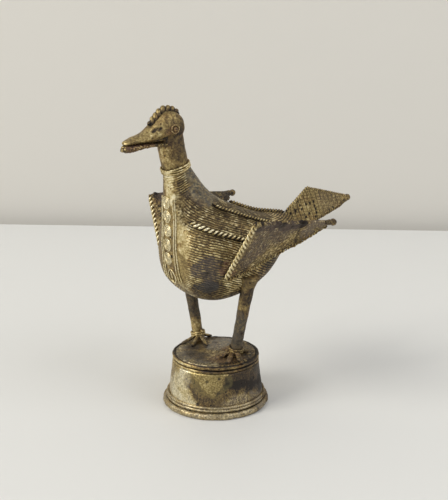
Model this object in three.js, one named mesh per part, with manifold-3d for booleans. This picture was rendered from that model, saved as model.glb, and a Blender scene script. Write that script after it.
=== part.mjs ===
// Cast brass peacock standing on a drum base, in millimetres, +Z up.
// The bird faces -Y and its left side is +X. Each piece that the maker shaped in wax is one closed mesh.

import * as THREE from 'three';
import { mergeVertices } from 'three/addons/utils/BufferGeometryUtils.js';
import Module from 'manifold-3d';

const wasm = await Module();
wasm.setup();

// Clearance between a piece and whatever it sits on
const seatGap = 0.3;

// Base
const baseHeight = 24;
const drumFootRadius = 22.3;
const drumShoulderRadius = 19.6;
const drumWallThickness = 2.2;
const footBandHeight = 3;
const footBandDepth = 1.4;
const footThreadRadius = 0.5;
const rimThreadRadius = 0.85;
const discEdgeThickness = 1.2;
const discCrown = 0.6;

// Where the bird stands on the base, towards its right side
const birdSideOffset = -3;

// Legs and feet
const leftStance = { ankle: [12.9, 3.3], hip: [20.6, 5.1], toeTurn: 34 };
const rightStance = { ankle: [-13.4, 2.4], hip: [-20.4, 0.2], toeTurn: 37 };
const hipHeight = 36;
const legRadiusAtAnkle = 2.5;
const legRadiusAtHip = 3.1;
const ankletHeight = 3.6;
const ankletThreadRadius = 0.55;
const toeRadius = 0.95;
const frontToeLength = 8;
const hindToeLength = 5;
const toeRise = 3.2;

// Body shell
const shellThickness = 2;
const coreVentRadius = 2.5;

// Collar, head and beak
const collarThreadRadius = 0.6;
const collarRise = 0.4;
const crestRadius = 1.75;
const crestPitch = 2.5;
const eyeRingRadius = 1.45;
const eyeThreadRadius = 0.5;
const eyePelletRadius = 0.75;

// Cords on the body
const cordRadius = 0.85;
const cordPitch = 2.8;
const borderThreadRadius = 0.5;
const coilRadius = 2.9;
const coilHeight = 1.1;
const coilTurns = 4;
const coilCount = 5;
const coilGap = 0.4;
const leafSize = [1.9, 3.3, 0.8];

// Wings
const wingThickness = 2;
const wingTipThickness = 1.3;
const wingDish = 1.3;
const wingTipShare = 0.62;
const wingKnobRadius = 1.5;
const wingEdgeRadius = 0.6;

// Tail, and where its upper corner meets the back, over the hips
const tailLength = 38.2;
const tailSeat = { y: 42.8, rise: 21.4 };
const tailThickness = 1.8;
const tailEdgeRadius = 0.6;
const tailBeadRadius = 1.2;
const latticeSpacing = 4.8;
const latticeGrooveDepth = 0.45;
const latticeGrooveWidth = 0.7;

// Fineness of the curved faces
const turnedSides = 32;
const threadSides = 6;

function vector(x, y, z) {
  return new THREE.Vector3(x, y, z);
}

function signedVolume(geometry) {
  const position = geometry.attributes.position;
  const index = geometry.index.array;
  const a = vector(0, 0, 0);
  const b = vector(0, 0, 0);
  const c = vector(0, 0, 0);
  let volume = 0;
  for (let i = 0; i < index.length; i += 3) {
    a.fromBufferAttribute(position, index[i]);
    b.fromBufferAttribute(position, index[i + 1]);
    c.fromBufferAttribute(position, index[i + 2]);
    volume += a.dot(b.cross(c)) / 6;
  }
  return volume;
}

// Joins shared corners, drops collapsed faces and turns every face outwards
function watertight(source) {
  const bare = source.clone();
  bare.deleteAttribute('normal');
  bare.deleteAttribute('uv');
  const merged = mergeVertices(bare, 1e-4);
  const kept = [];
  const index = merged.index.array;
  for (let i = 0; i < index.length; i += 3) {
    const [a, b, c] = [index[i], index[i + 1], index[i + 2]];
    if (a !== b && b !== c && c !== a) kept.push(a, b, c);
  }
  merged.setIndex(kept);
  if (signedVolume(merged) < 0) {
    for (let i = 0; i < kept.length; i += 3) {
      [kept[i + 1], kept[i + 2]] = [kept[i + 2], kept[i + 1]];
    }
    merged.setIndex(kept);
  }
  return merged;
}

function toSolid(geometry) {
  const closed = watertight(geometry);
  const vertProperties = Float32Array.from(closed.attributes.position.array);
  const triVerts = Uint32Array.from(closed.index.array);
  return new wasm.Manifold(new wasm.Mesh({ numProp: 3, vertProperties, triVerts }));
}

function toGeometry(solid) {
  const mesh = solid.getMesh();
  const geometry = new THREE.BufferGeometry();
  geometry.setAttribute('position', new THREE.Float32BufferAttribute(mesh.vertProperties, 3));
  geometry.setIndex(Array.from(mesh.triVerts));
  return geometry;
}

// Cuts each of the other pieces away and keeps the largest solid that is left
function cutBy(geometry, ...cutters) {
  let solid = toSolid(geometry);
  for (const cutter of cutters) solid = solid.subtract(toSolid(cutter));
  const pieces = solid.decompose();
  pieces.sort((a, b) => b.volume() - a.volume());
  return toGeometry(pieces[0]);
}

function joined(...geometries) {
  const [first, ...others] = geometries.map(toSolid);
  return toGeometry(others.reduce((sum, solid) => sum.add(solid), first));
}

// The same piece, larger all round by a distance
function grown(geometry, distance) {
  const result = watertight(geometry);
  result.computeVertexNormals();
  const position = result.attributes.position;
  const normal = result.attributes.normal;
  for (let i = 0; i < position.count; i += 1) {
    position.setXYZ(
      i,
      position.getX(i) + normal.getX(i) * distance,
      position.getY(i) + normal.getY(i) * distance,
      position.getZ(i) + normal.getZ(i) * distance
    );
  }
  return result;
}

function mirrored(geometry) {
  return watertight(geometry.clone().scale(-1, 1, 1));
}

// Skins a row of rings that all have the same number of points, with a flat cap at each end
function skin(rings) {
  const size = rings[0].length;
  const points = rings.flat();
  const faces = [];
  for (let r = 0; r < rings.length - 1; r += 1) {
    for (let i = 0; i < size; i += 1) {
      const a = r * size + i;
      const b = r * size + (i + 1) % size;
      faces.push(a, b, a + size, b, b + size, a + size);
    }
  }
  for (const [r, forward] of [[0, false], [rings.length - 1, true]]) {
    const centre = points.length;
    const middle = rings[r].reduce((sum, p) => sum.add(p), vector(0, 0, 0)).divideScalar(size);
    points.push(middle);
    for (let i = 0; i < size; i += 1) {
      const a = r * size + i;
      const b = r * size + (i + 1) % size;
      if (forward) faces.push(a, b, centre);
      else faces.push(b, a, centre);
    }
  }
  const geometry = new THREE.BufferGeometry();
  geometry.setFromPoints(points);
  geometry.setIndex(faces);
  return watertight(geometry);
}

// A value read off a row of stations, as a smooth curve through them
function through(values, share) {
  const place = THREE.MathUtils.clamp(share, 0, 1) * (values.length - 1);
  const first = Math.min(Math.floor(place), values.length - 2);
  const t = place - first;
  const at = (i) => {
    if (i < 0) return 2 * values[0] - values[1];
    if (i >= values.length) return 2 * values[values.length - 1] - values[values.length - 2];
    return values[i];
  };
  const [p0, p1, p2, p3] = [at(first - 1), at(first), at(first + 1), at(first + 2)];
  const slopeIn = (p2 - p0) / 2;
  const slopeOut = (p3 - p1) / 2;
  const cubic = 2 * p1 - 2 * p2 + slopeIn + slopeOut;
  const square = -3 * p1 + 3 * p2 - 2 * slopeIn - slopeOut;
  return ((cubic * t + square) * t + slopeIn) * t + p1;
}

function turned(profile, sides = turnedSides) {
  const geometry = new THREE.LatheGeometry(profile.map(([r, z]) => new THREE.Vector2(r, z)), sides);
  return watertight(geometry.rotateX(Math.PI / 2));
}

// A plain round thread bent into a level ring
function threadRing(ringRadius, height, radius, sides = turnedSides) {
  const profile = [];
  for (let i = 0; i <= threadSides; i += 1) {
    const angle = (i / threadSides) * 2 * Math.PI;
    profile.push([ringRadius + radius * Math.cos(angle), height + radius * Math.sin(angle)]);
  }
  return turned(profile, sides);
}

// A rod along a path; radiusAt gives its radius and squash its height as a share of its width
function rod(points, radiusAt, sides = threadSides, steps = 8) {
  const curve = new THREE.CatmullRomCurve3(points);
  const frames = curve.computeFrenetFrames(steps, false);
  const rings = [];
  for (let s = 0; s <= steps; s += 1) {
    const centre = curve.getPointAt(s / steps);
    const ring = [];
    for (let i = 0; i < sides; i += 1) {
      const angle = (i / sides) * 2 * Math.PI;
      const radius = radiusAt(s / steps);
      const offset = frames.normals[s].clone().multiplyScalar(radius * Math.cos(angle));
      offset.addScaledVector(frames.binormals[s], radius * Math.sin(angle));
      ring.push(centre.clone().add(offset));
    }
    rings.push(ring);
  }
  return skin(rings);
}

// A round thread laid along a closed loop of points
function closedThread(loop, radius) {
  const curve = new THREE.CatmullRomCurve3(loop, true);
  const steps = loop.length;
  const frames = curve.computeFrenetFrames(steps, true);
  const points = [];
  const faces = [];
  for (let s = 0; s < steps; s += 1) {
    const centre = curve.getPointAt(s / steps);
    for (let i = 0; i < threadSides; i += 1) {
      const angle = (i / threadSides) * 2 * Math.PI;
      const offset = frames.normals[s].clone().multiplyScalar(radius * Math.cos(angle));
      offset.addScaledVector(frames.binormals[s], radius * Math.sin(angle));
      points.push(centre.clone().add(offset));
      const a = s * threadSides + i;
      const b = s * threadSides + (i + 1) % threadSides;
      const c = (a + threadSides) % (steps * threadSides);
      const d = (b + threadSides) % (steps * threadSides);
      faces.push(a, b, c, b, d, c);
    }
  }
  const geometry = new THREE.BufferGeometry();
  geometry.setFromPoints(points);
  geometry.setIndex(faces);
  return watertight(geometry);
}

// Two wax strands laid round each other: an oval section that turns half a turn for each mark
function twistedCord(points, radius, pitch) {
  const curve = new THREE.CatmullRomCurve3(points);
  const stepsPerMark = 3;
  const steps = Math.round((curve.getLength() / pitch) * stepsPerMark);
  const frames = curve.computeFrenetFrames(steps, false);
  const strandOffset = 0.62;
  const rings = [];
  for (let s = 0; s <= steps; s += 1) {
    const centre = curve.getPointAt(s / steps);
    const turn = (s / stepsPerMark) * Math.PI;
    const ring = [];
    for (let i = 0; i < threadSides; i += 1) {
      const angle = (i / threadSides) * 2 * Math.PI;
      const wide = radius * Math.cos(angle);
      const narrow = radius * strandOffset * Math.sin(angle);
      const across = wide * Math.cos(turn) - narrow * Math.sin(turn);
      const up = wide * Math.sin(turn) + narrow * Math.cos(turn);
      const offset = frames.normals[s].clone().multiplyScalar(across);
      offset.addScaledVector(frames.binormals[s], up);
      ring.push(centre.clone().add(offset));
    }
    rings.push(ring);
  }
  return skin(rings);
}

const materials = {
  brass: { color: 0x8a7a4a, roughness: 0.5, metalness: 0.85 },
  brightBrass: { color: 0xb5a36a, roughness: 0.42, metalness: 0.9 },
  darkBrass: { color: 0x4f4433, roughness: 0.6, metalness: 0.7 },
  firedClay: { color: 0x6b4a3a, roughness: 0.95, metalness: 0 }
};

const base = new THREE.Group();
const bird = new THREE.Group();

function place(group, name, geometry, finish) {
  const mesh = new THREE.Mesh(watertight(geometry), new THREE.MeshStandardMaterial(materials[finish]));
  mesh.name = name;
  group.add(mesh);
}

// Base: an open drum with a disc on top, a band round its foot and threads at foot and rim
const rimThreadPitch = 2 * rimThreadRadius + seatGap;
const rimHeight = baseHeight - discCrown;
const shoulderHeight = rimHeight - 2 * rimThreadPitch + seatGap;
const rimSeatRadius = drumShoulderRadius - 2 * rimThreadRadius - seatGap + 0.15;
const drumTop = rimHeight - discEdgeThickness - seatGap;

function drumOuterRadius(height) {
  const share = THREE.MathUtils.clamp(height / shoulderHeight, 0, 1);
  const flare = 1 - Math.sin(share * Math.PI / 2);
  const taper = drumFootRadius - drumShoulderRadius;
  return drumShoulderRadius + taper * (0.55 * (1 - share) + 0.45 * flare);
}

function makeDrum() {
  const outer = [];
  const inner = [];
  const wallSteps = 4;
  for (let i = 0; i <= wallSteps; i += 1) {
    const height = (i / wallSteps) * shoulderHeight;
    outer.push([drumOuterRadius(height), height]);
    inner.unshift([drumOuterRadius(height) - drumWallThickness, height]);
  }
  const innerTop = rimSeatRadius - drumWallThickness;
  inner[0][0] = innerTop;
  const rim = [[rimSeatRadius, shoulderHeight], [rimSeatRadius, drumTop], [innerTop, drumTop]];
  return turned([...outer, ...rim, ...inner, outer[0]]);
}

function makeDisc() {
  const bottom = rimHeight - discEdgeThickness;
  const profile = [[0, bottom], [rimSeatRadius, bottom]];
  const crownSteps = 3;
  for (let i = crownSteps; i >= 0; i -= 1) {
    const share = i / crownSteps;
    profile.push([rimSeatRadius * share, baseHeight - discCrown * share ** 2]);
  }
  return turned(profile);
}

function makeFootBand() {
  const innerRadius = drumFootRadius + seatGap;
  const lowestAngle = -0.3 * Math.PI;
  const highestAngle = 0.42 * Math.PI;
  const profile = [[innerRadius, 0]];
  const bulgeSteps = 4;
  for (let i = 0; i <= bulgeSteps; i += 1) {
    const angle = THREE.MathUtils.lerp(lowestAngle, highestAngle, i / bulgeSteps);
    const share = THREE.MathUtils.inverseLerp(Math.sin(lowestAngle), Math.sin(highestAngle), Math.sin(angle));
    profile.push([innerRadius + footBandDepth * Math.cos(angle), share * footBandHeight]);
  }
  profile.push([innerRadius, footBandHeight]);
  profile.push([innerRadius, 0]);
  return turned(profile);
}

const baseDisc = makeDisc();
place(base, 'base_drum', makeDrum(), 'brass');
place(base, 'base_top_disc', baseDisc, 'darkBrass');
place(base, 'base_foot_band', makeFootBand(), 'brass');
['base_foot_thread_lower', 'base_foot_thread_upper'].forEach((name, i) => {
  const height = footBandHeight + seatGap + footThreadRadius + i * (2 * footThreadRadius + seatGap);
  const ringRadius = drumOuterRadius(height - footThreadRadius) + seatGap + footThreadRadius;
  place(base, name, threadRing(ringRadius, height, footThreadRadius), 'brass');
});
const rimThreads = [0, 1].map((i) => {
  const height = shoulderHeight + seatGap + rimThreadRadius + i * rimThreadPitch;
  return threadRing(rimSeatRadius + seatGap + rimThreadRadius, height, rimThreadRadius);
});
place(base, 'base_rim_thread_lower', rimThreads[0], 'brightBrass');
place(base, 'base_rim_thread_upper', rimThreads[1], 'brightBrass');

// Body: sections from the collar back to the tail root. Each is drawn from a point on the line of the back
// to a point on the line of the breast and belly, as [forward-back, height above the hips].
const collarSection = { back: [-13.1, 51.2], front: [-23.3, 47.8], halfWidth: 5.3, pear: 0 };
const bodyStations = [
  collarSection,
  { back: [-9.2, 44.5], front: [-23.3, 36.5], halfWidth: 7, pear: 0.05 },
  { back: [-4.8, 38.6], front: [-22.6, 25], halfWidth: 10.5, pear: 0.3 },
  { back: [0.1, 33.3], front: [-22.5, 13.5], halfWidth: 15.8, pear: 0.35 },
  { back: [9.5, 29.1], front: [-19.6, -1], halfWidth: 20.2, pear: 0.25 },
  { back: [17.5, 26.7], front: [-9, -9.9], halfWidth: 21.6, pear: 0.18 },
  { back: [25, 24.8], front: [3, -10.7], halfWidth: 21, pear: 0.12 },
  { back: [32, 23.3], front: [14.6, -7.6], halfWidth: 18, pear: 0.06 },
  { back: [38.5, 22], front: [25.2, -1.6], halfWidth: 12.8, pear: 0 },
  { back: [43, 20.8], front: [34.5, 6], halfWidth: 8.2, pear: 0 },
  { back: [46, 19], front: [42, 13], halfWidth: 4.5, pear: 0 }
];
const neckStations = [
  collarSection,
  { back: [-14.2, 56.2], front: [-24.8, 53.9], halfWidth: 5.4, pear: 0 },
  { back: [-15, 60.5], front: [-25.5, 59.2], halfWidth: 5.2, pear: 0 },
  { back: [-15.8, 65], front: [-25.8, 65], halfWidth: 4.9, pear: 0 }
];
const headStations = [
  { back: [-15.3, 67.3], front: [-15.3, 65.5], halfWidth: 1.5, pear: 0 },
  { back: [-16.5, 69.7], front: [-16.7, 62.5], halfWidth: 4, pear: 0 },
  { back: [-20, 71], front: [-19.5, 61.2], halfWidth: 5.4, pear: 0 },
  { back: [-24.3, 72], front: [-23.6, 61.2], halfWidth: 5.8, pear: 0 },
  { back: [-27.8, 69], front: [-27.4, 61.4], halfWidth: 5.3, pear: 0 },
  { back: [-31.4, 67.2], front: [-31.2, 61.6], halfWidth: 4.5, pear: 0.1 },
  { back: [-35.4, 65.5], front: [-35.6, 61.7], halfWidth: 3.8, pear: 0.1 },
  { back: [-39.6, 64.3], front: [-39.8, 61.6], halfWidth: 3.2, pear: 0.1 },
  { back: [-42.8, 62.9], front: [-43, 61.4], halfWidth: 2.2, pear: 0 },
  { back: [-43.8, 62.4], front: [-43.9, 61.6], halfWidth: 1, pear: 0 }
];
const lowerBeakStations = [
  { back: [-24, 60.6], front: [-24, 59], halfWidth: 4, pear: 0 },
  { back: [-32, 60.7], front: [-32, 59.1], halfWidth: 3.4, pear: 0 },
  { back: [-38, 60.6], front: [-38, 59], halfWidth: 2.9, pear: 0 },
  { back: [-42.5, 60.4], front: [-42.5, 59], halfWidth: 2.1, pear: 0 },
  { back: [-44.4, 60], front: [-44.4, 59.3], halfWidth: 0.9, pear: 0 }
];
const fullness = 0.88;

// The legs carry everything above them, so its places are heights over the hips
function overHips(x, y, rise) {
  return vector(x, y, hipHeight + rise);
}

// A point on a lofted form: along runs from its first station to its last, around is the angle from the
// line of the back over the left side. With an inset, the point lies on a like form that far inside.
function formPoint(stations, along, around, inset = 0) {
  const read = (pick) => through(stations.map(pick), along);
  const back = overHips(0, read((s) => s.back[0]), read((s) => s.back[1]));
  const front = overHips(0, read((s) => s.front[0]), read((s) => s.front[1]));
  const depth = front.distanceTo(back);
  const halfDepth = depth / 2 - inset;
  const halfWidth = read((s) => s.halfWidth) - inset;
  const pear = read((s) => s.pear);
  const sine = Math.sin(around);
  const cosine = Math.cos(around);
  const full = Math.sign(sine) * Math.abs(sine) ** fullness;
  const point = back.clone().add(front).divideScalar(2);
  point.addScaledVector(front.sub(back).divideScalar(depth), -cosine * halfDepth);
  point.x = (halfWidth * full * (1 - pear * cosine)) / (1 + pear * pear / 2);
  return point;
}

function formNormal(stations, along, around) {
  const step = 0.004;
  const lengthwise = formPoint(stations, Math.min(along + step, 1), around);
  lengthwise.sub(formPoint(stations, Math.max(along - step, 0), around));
  const crosswise = formPoint(stations, along, around + step);
  crosswise.sub(formPoint(stations, along, around - step));
  const normal = crosswise.cross(lengthwise).normalize();
  const outwards = formPoint(stations, along, around).sub(formPoint(stations, along, around + Math.PI));
  return normal.dot(outwards) < 0 ? normal.negate() : normal;
}

function onForm(stations, along, around, lift) {
  return formPoint(stations, along, around).addScaledVector(formNormal(stations, along, around), lift);
}

function loft(stations, sections, sides, inset = 0, startAlong = 0, endAlong = 1) {
  const rings = [];
  for (let s = 0; s <= sections; s += 1) {
    const along = startAlong + (s / sections) * (endAlong - startAlong);
    const ring = [];
    for (let i = 0; i < sides; i += 1) {
      ring.push(formPoint(stations, along, (i / sides) * 2 * Math.PI, inset));
    }
    rings.push(ring);
  }
  return skin(rings);
}

const bodyOutside = loft(bodyStations, 27, 28);
const bodyClearance = grown(bodyOutside, seatGap);
const cavity = loft(bodyStations, 12, 14, shellThickness, 0.05, 0.95);
const core = loft(bodyStations, 12, 14, shellThickness + seatGap, 0.055, 0.945);

// The vent left by the rod that held the clay core, low on the belly
function makeVent() {
  const vent = new THREE.CylinderGeometry(coreVentRadius, coreVentRadius, 8 * shellThickness, 12);
  const mouth = formPoint(bodyStations, 0.58, Math.PI);
  return vent.rotateX(Math.PI / 2).translate(mouth.x, mouth.y, mouth.z);
}

place(bird, 'body_shell', cutBy(bodyOutside, cavity, makeVent()), 'brass');
place(bird, 'clay_core', core, 'firedClay');

// Legs, anklets and toes
const footing = [baseDisc, rimThreads[1]].map((piece) => {
  return grown(piece, seatGap).translate(-birdSideOffset, 0, -baseHeight);
});

// How far the disc's crowned top falls away under a point of the bird
function discHeightAt(x, y) {
  const share = Math.hypot(x + birdSideOffset, y) / rimSeatRadius;
  return -discCrown * share ** 2;
}

function cutLevel(geometry, height) {
  const width = 4 * drumFootRadius;
  const below = new THREE.BoxGeometry(width, width, baseHeight);
  return cutBy(geometry, below.translate(0, 0, height - baseHeight / 2));
}

function legLine({ ankle, hip }) {
  const foot = vector(...ankle, discHeightAt(...ankle));
  const top = vector(...hip, hipHeight);
  return { foot, top, direction: top.clone().sub(foot).normalize() };
}

function makeLeg({ foot, top, direction }) {
  const radiusAt = (share) => THREE.MathUtils.lerp(legRadiusAtAnkle, legRadiusAtHip, share ** 2);
  const bottom = foot.clone().addScaledVector(direction, -legRadiusAtAnkle);
  const leg = rod([bottom, foot.clone().lerp(top, 0.5), top], radiusAt, 14, 5);
  return cutBy(cutLevel(leg, -discCrown), bodyClearance, ...footing);
}

function makeAnklet({ foot, direction }) {
  const ringRadius = legRadiusAtAnkle + seatGap + ankletThreadRadius;
  const pitch = 1.7 * ankletThreadRadius;
  const profile = [];
  for (const [middle, from, to] of [[-pitch / 2, -180, 60], [pitch / 2, -60, 180]]) {
    for (let degrees = from; degrees <= to; degrees += 60) {
      const angle = THREE.MathUtils.degToRad(degrees);
      const height = middle + ankletThreadRadius * Math.sin(angle);
      profile.push([ringRadius + ankletThreadRadius * Math.cos(angle), height]);
    }
  }
  profile.push(profile[0]);
  const anklet = turned(profile, 14);
  anklet.applyQuaternion(new THREE.Quaternion().setFromUnitVectors(vector(0, 0, 1), direction));
  const centre = foot.clone().addScaledVector(direction, ankletHeight);
  return anklet.translate(centre.x, centre.y, centre.z);
}

// Toes fan out from the ankle; a direction is the angle outwards from straight ahead
const toes = [
  { name: 'inner', direction: -38, length: frontToeLength * 0.9 },
  { name: 'middle', direction: 0, length: frontToeLength },
  { name: 'outer', direction: 38, length: frontToeLength },
  { name: 'hind', direction: 148, length: hindToeLength }
];

function makeToe({ direction, length }, foot, turn, ...neighbours) {
  const angle = THREE.MathUtils.degToRad(direction + turn);
  const outwards = vector(Math.sin(angle), -Math.cos(angle), 0);
  const start = legRadiusAtAnkle + seatGap;
  const at = (share, rise) => {
    const spot = foot.clone().addScaledVector(outwards, start + share * length);
    return spot.setZ(discHeightAt(spot.x, spot.y) + seatGap + rise);
  };
  const path = [
    at(0, toeRise - toeRadius),
    at(0.35, toeRise * 0.6),
    at(0.75, toeRadius * 0.9),
    at(1, toeRadius * 0.6)
  ];
  const toe = rod(path, (share) => toeRadius * (1 - 0.35 * share ** 2), threadSides, 6);
  return cutBy(toe, ...footing, ...neighbours.map((piece) => grown(piece, seatGap)));
}

for (const [sideName, stance] of [['left', leftStance], ['right', rightStance]]) {
  const line = legLine(stance);
  const leg = makeLeg(line);
  const anklet = makeAnklet(line);
  place(bird, `leg_${sideName}`, leg, 'brass');
  place(bird, `anklet_${sideName}`, anklet, 'brightBrass');
  for (const toe of toes) {
    const geometry = makeToe(toe, line.foot, stance.toeTurn, leg, anklet);
    place(bird, `toe_${toe.name}_${sideName}`, geometry, 'darkBrass');
  }
}

// Neck, head and beak
const collarUp = vector(0, -1, 0).multiplyScalar(bodyStations[0].back[1] - bodyStations[0].front[1]);
collarUp.z = bodyStations[0].back[0] - bodyStations[0].front[0];
collarUp.normalize();

function makeHead() {
  const neck = loft(neckStations, 6, 16).translate(0, collarUp.y * seatGap, collarUp.z * seatGap);
  return joined(neck, loft(headStations, 18, 16));
}

function makeCollarThread(rise) {
  const loop = [];
  const turns = 20;
  for (let i = 0; i < turns; i += 1) {
    const lift = collarThreadRadius + seatGap;
    const point = onForm(bodyStations, 0, (i / turns) * 2 * Math.PI, lift);
    loop.push(point.addScaledVector(collarUp, rise));
  }
  return closedThread(loop, collarThreadRadius);
}

const head = makeHead();
const headClearance = grown(head, seatGap);
place(bird, 'head', head, 'brass');
place(bird, 'lower_beak', cutBy(loft(lowerBeakStations, 6, 10), headClearance), 'darkBrass');

const collarPitch = 2 * collarThreadRadius + seatGap;
place(bird, 'collar_thread_lower', makeCollarThread(collarRise - collarPitch / 2), 'brightBrass');
place(bird, 'collar_thread_upper', makeCollarThread(collarRise + collarPitch / 2), 'brightBrass');

function makeCrest() {
  const path = [];
  for (let along = 0.19; along < 0.53; along += 0.055) {
    path.push(onForm(headStations, along, 0, crestRadius + seatGap));
  }
  return twistedCord(path, crestRadius, crestPitch);
}

place(bird, 'crest_plait', cutBy(makeCrest(), headClearance), 'brightBrass');

// Turns a piece made round the Z axis to stand on a form, and lifts it by a distance
function standOn(stations, geometry, along, around, lift) {
  const normal = formNormal(stations, along, around);
  const spot = formPoint(stations, along, around).addScaledVector(normal, lift);
  geometry.applyQuaternion(new THREE.Quaternion().setFromUnitVectors(vector(0, 0, 1), normal));
  return geometry.translate(spot.x, spot.y, spot.z);
}

const eye = { along: 0.31, around: 1.62 };
const leftEyeRing = standOn(
  headStations,
  threadRing(eyeRingRadius, 0, eyeThreadRadius, 12),
  eye.along,
  eye.around,
  eyeThreadRadius + seatGap
);
const leftEyePellet = standOn(
  headStations,
  new THREE.IcosahedronGeometry(eyePelletRadius, 1).scale(1, 1, 0.6),
  eye.along,
  eye.around,
  eyePelletRadius * 0.6 + seatGap
);
place(bird, 'eye_ring_left', leftEyeRing, 'brightBrass');
place(bird, 'eye_ring_right', mirrored(leftEyeRing), 'brightBrass');
place(bird, 'eye_pellet_left', leftEyePellet, 'darkBrass');
place(bird, 'eye_pellet_right', mirrored(leftEyePellet), 'darkBrass');

// Wings: thin dished triangles, each with a twisted cord down its front edge and a knob at its tip.
// The lower edge follows the flank first, where the wing is joined to the body, and then leaves it.
// The corners are on the cord and the knob, as places over the hips; the right wing's top corner sits a
// little lower.
const leftWingCorners = { low: [21.4, -8.2, 3.2], high: [40.2, -6.7, 31], tip: [36.3, 38.6, 24.6] };
const rightWingCorners = { low: [-20.6, -12.2, 2.6], high: [-40.2, -6.2, 29], tip: [-36.9, 39, 24.6] };
const wingLowerLine = [[22.5, -1, 4.6], [22.7, 8.5, 7.4], [25.2, 16.8, 11.4], [30.6, 26, 17]];

function wingSheet({ low, high, tip }) {
  const corners = { low: overHips(...low), high: overHips(...high), tip: overHips(...tip) };
  const side = Math.sign(corners.high.x);
  const back = corners.tip.clone().sub(corners.high).normalize();
  const frontLow = corners.low.clone().addScaledVector(back, cordRadius + seatGap);
  const frontHigh = corners.high.clone().addScaledVector(back, cordRadius + seatGap);
  const out = back.clone().cross(frontHigh.clone().sub(frontLow)).normalize().multiplyScalar(side);
  const lowerPoints = wingLowerLine.map(([x, y, rise]) => overHips(side * x, y, rise));
  const lower = new THREE.CatmullRomCurve3([frontLow, ...lowerPoints, corners.tip]);
  const at = (share, height, face) => {
    const thickness = THREE.MathUtils.lerp(wingThickness, wingTipThickness, share);
    const dish = wingDish * Math.sin(Math.PI * height) * (1 - share);
    const point = lower.getPointAt(share).lerp(frontHigh.clone().lerp(corners.tip, share), height);
    return point.addScaledVector(out, face * thickness / 2 - dish);
  };
  const lowerEdge = (share) => {
    const up = frontHigh.clone().lerp(corners.tip, share).sub(lower.getPointAt(share)).normalize();
    return lower.getPointAt(share).addScaledVector(up, -wingEdgeRadius - seatGap);
  };
  return { at, lowerEdge, back, corners, length: frontHigh.distanceTo(corners.tip) };
}

function makeWing(sheet, startShare, endShare, steps) {
  const rings = [];
  const rows = 5;
  for (let s = 0; s <= steps; s += 1) {
    const share = THREE.MathUtils.lerp(startShare, endShare, s / steps);
    const ring = [];
    for (let i = 0; i <= rows; i += 1) ring.push(sheet.at(share, i / rows, 1));
    for (let i = rows; i >= 0; i -= 1) ring.push(sheet.at(share, i / rows, -1));
    rings.push(ring);
  }
  return skin(rings);
}

function makeWingCord({ corners }) {
  const path = [0, 1 / 3, 2 / 3, 1].map((share) => corners.low.clone().lerp(corners.high, share));
  return cutBy(twistedCord(path, cordRadius, cordPitch), bodyClearance);
}

function makeKnob({ corners, back }, tip) {
  const knob = new THREE.IcosahedronGeometry(wingKnobRadius, 1);
  const spot = corners.tip.clone().addScaledVector(back, wingKnobRadius * 0.2);
  return cutBy(knob.translate(spot.x, spot.y, spot.z), grown(tip, seatGap));
}

// The thread that stiffens the lower edge, from the front cord to just short of the knob
function makeWingEdge({ lowerEdge }, ...neighbours) {
  const path = [0.03, 0.25, 0.5, 0.75, 0.94].map(lowerEdge);
  const edge = rod(path, () => wingEdgeRadius, threadSides, 10);
  return cutBy(edge, bodyClearance, ...neighbours.map((piece) => grown(piece, seatGap)));
}

for (const [sideName, corners] of [['left', leftWingCorners], ['right', rightWingCorners]]) {
  const sheet = wingSheet(corners);
  const tipStart = wingTipShare + seatGap / sheet.length;
  const tip = makeWing(sheet, tipStart, 1 - wingKnobRadius / sheet.length, 3);
  const cord = makeWingCord(sheet);
  const knob = makeKnob(sheet, tip);
  const edge = makeWingEdge(sheet, cord, knob);
  const edgeClearance = grown(edge, seatGap);
  const wing = makeWing(sheet, 0, wingTipShare, 7);
  place(bird, `wing_${sideName}`, cutBy(wing, bodyClearance, edgeClearance), 'brass');
  place(bird, `wing_tip_${sideName}`, cutBy(tip, edgeClearance), 'brass');
  place(bird, `wing_front_cord_${sideName}`, cord, 'brightBrass');
  place(bird, `wing_edge_thread_${sideName}`, edge, 'darkBrass');
  place(bird, `wing_knob_${sideName}`, knob, 'brightBrass');
}

// Tail: an upright kite of wax sheet scored with a lattice, a thread along each edge and a bead at the end
const tailAt = (back, rise) => overHips(0, tailSeat.y + back, tailSeat.rise + rise);
const tailRoot = tailAt(0, 0);
const tailTop = tailAt(12.5, 9.1);
const tailEnd = tailAt(tailLength, 2);
const tailBottom = tailAt(17.2, -6.4);
const tailLow = tailAt(2.7, -5.4);

// The path of a thread beside three corners of the kite: to their left seen from +X if sideways is 1
function besideEdges([first, corner, last], sideways) {
  const distance = sideways * (tailEdgeRadius + seatGap);
  const left = (from, to) => vector(0, from.z - to.z, to.y - from.y).normalize();
  const [before, after] = [left(first, corner), left(corner, last)];
  const mitre = before.clone().add(after).divideScalar(1 + before.dot(after));
  return [
    first.clone().addScaledVector(before, distance),
    corner.clone().addScaledVector(mitre, distance),
    last.clone().addScaledVector(after, distance)
  ];
}

function makeTailEdge(corners, sideways) {
  const [start, turn, end] = besideEdges(corners, sideways);
  const nearTurn = [start.clone().lerp(turn, 0.9), turn, turn.clone().lerp(end, 0.1)];
  const edge = rod([start, ...nearTurn, end], () => tailEdgeRadius, threadSides, 16);
  return cutBy(edge, bodyClearance, beadClearance);
}

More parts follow.
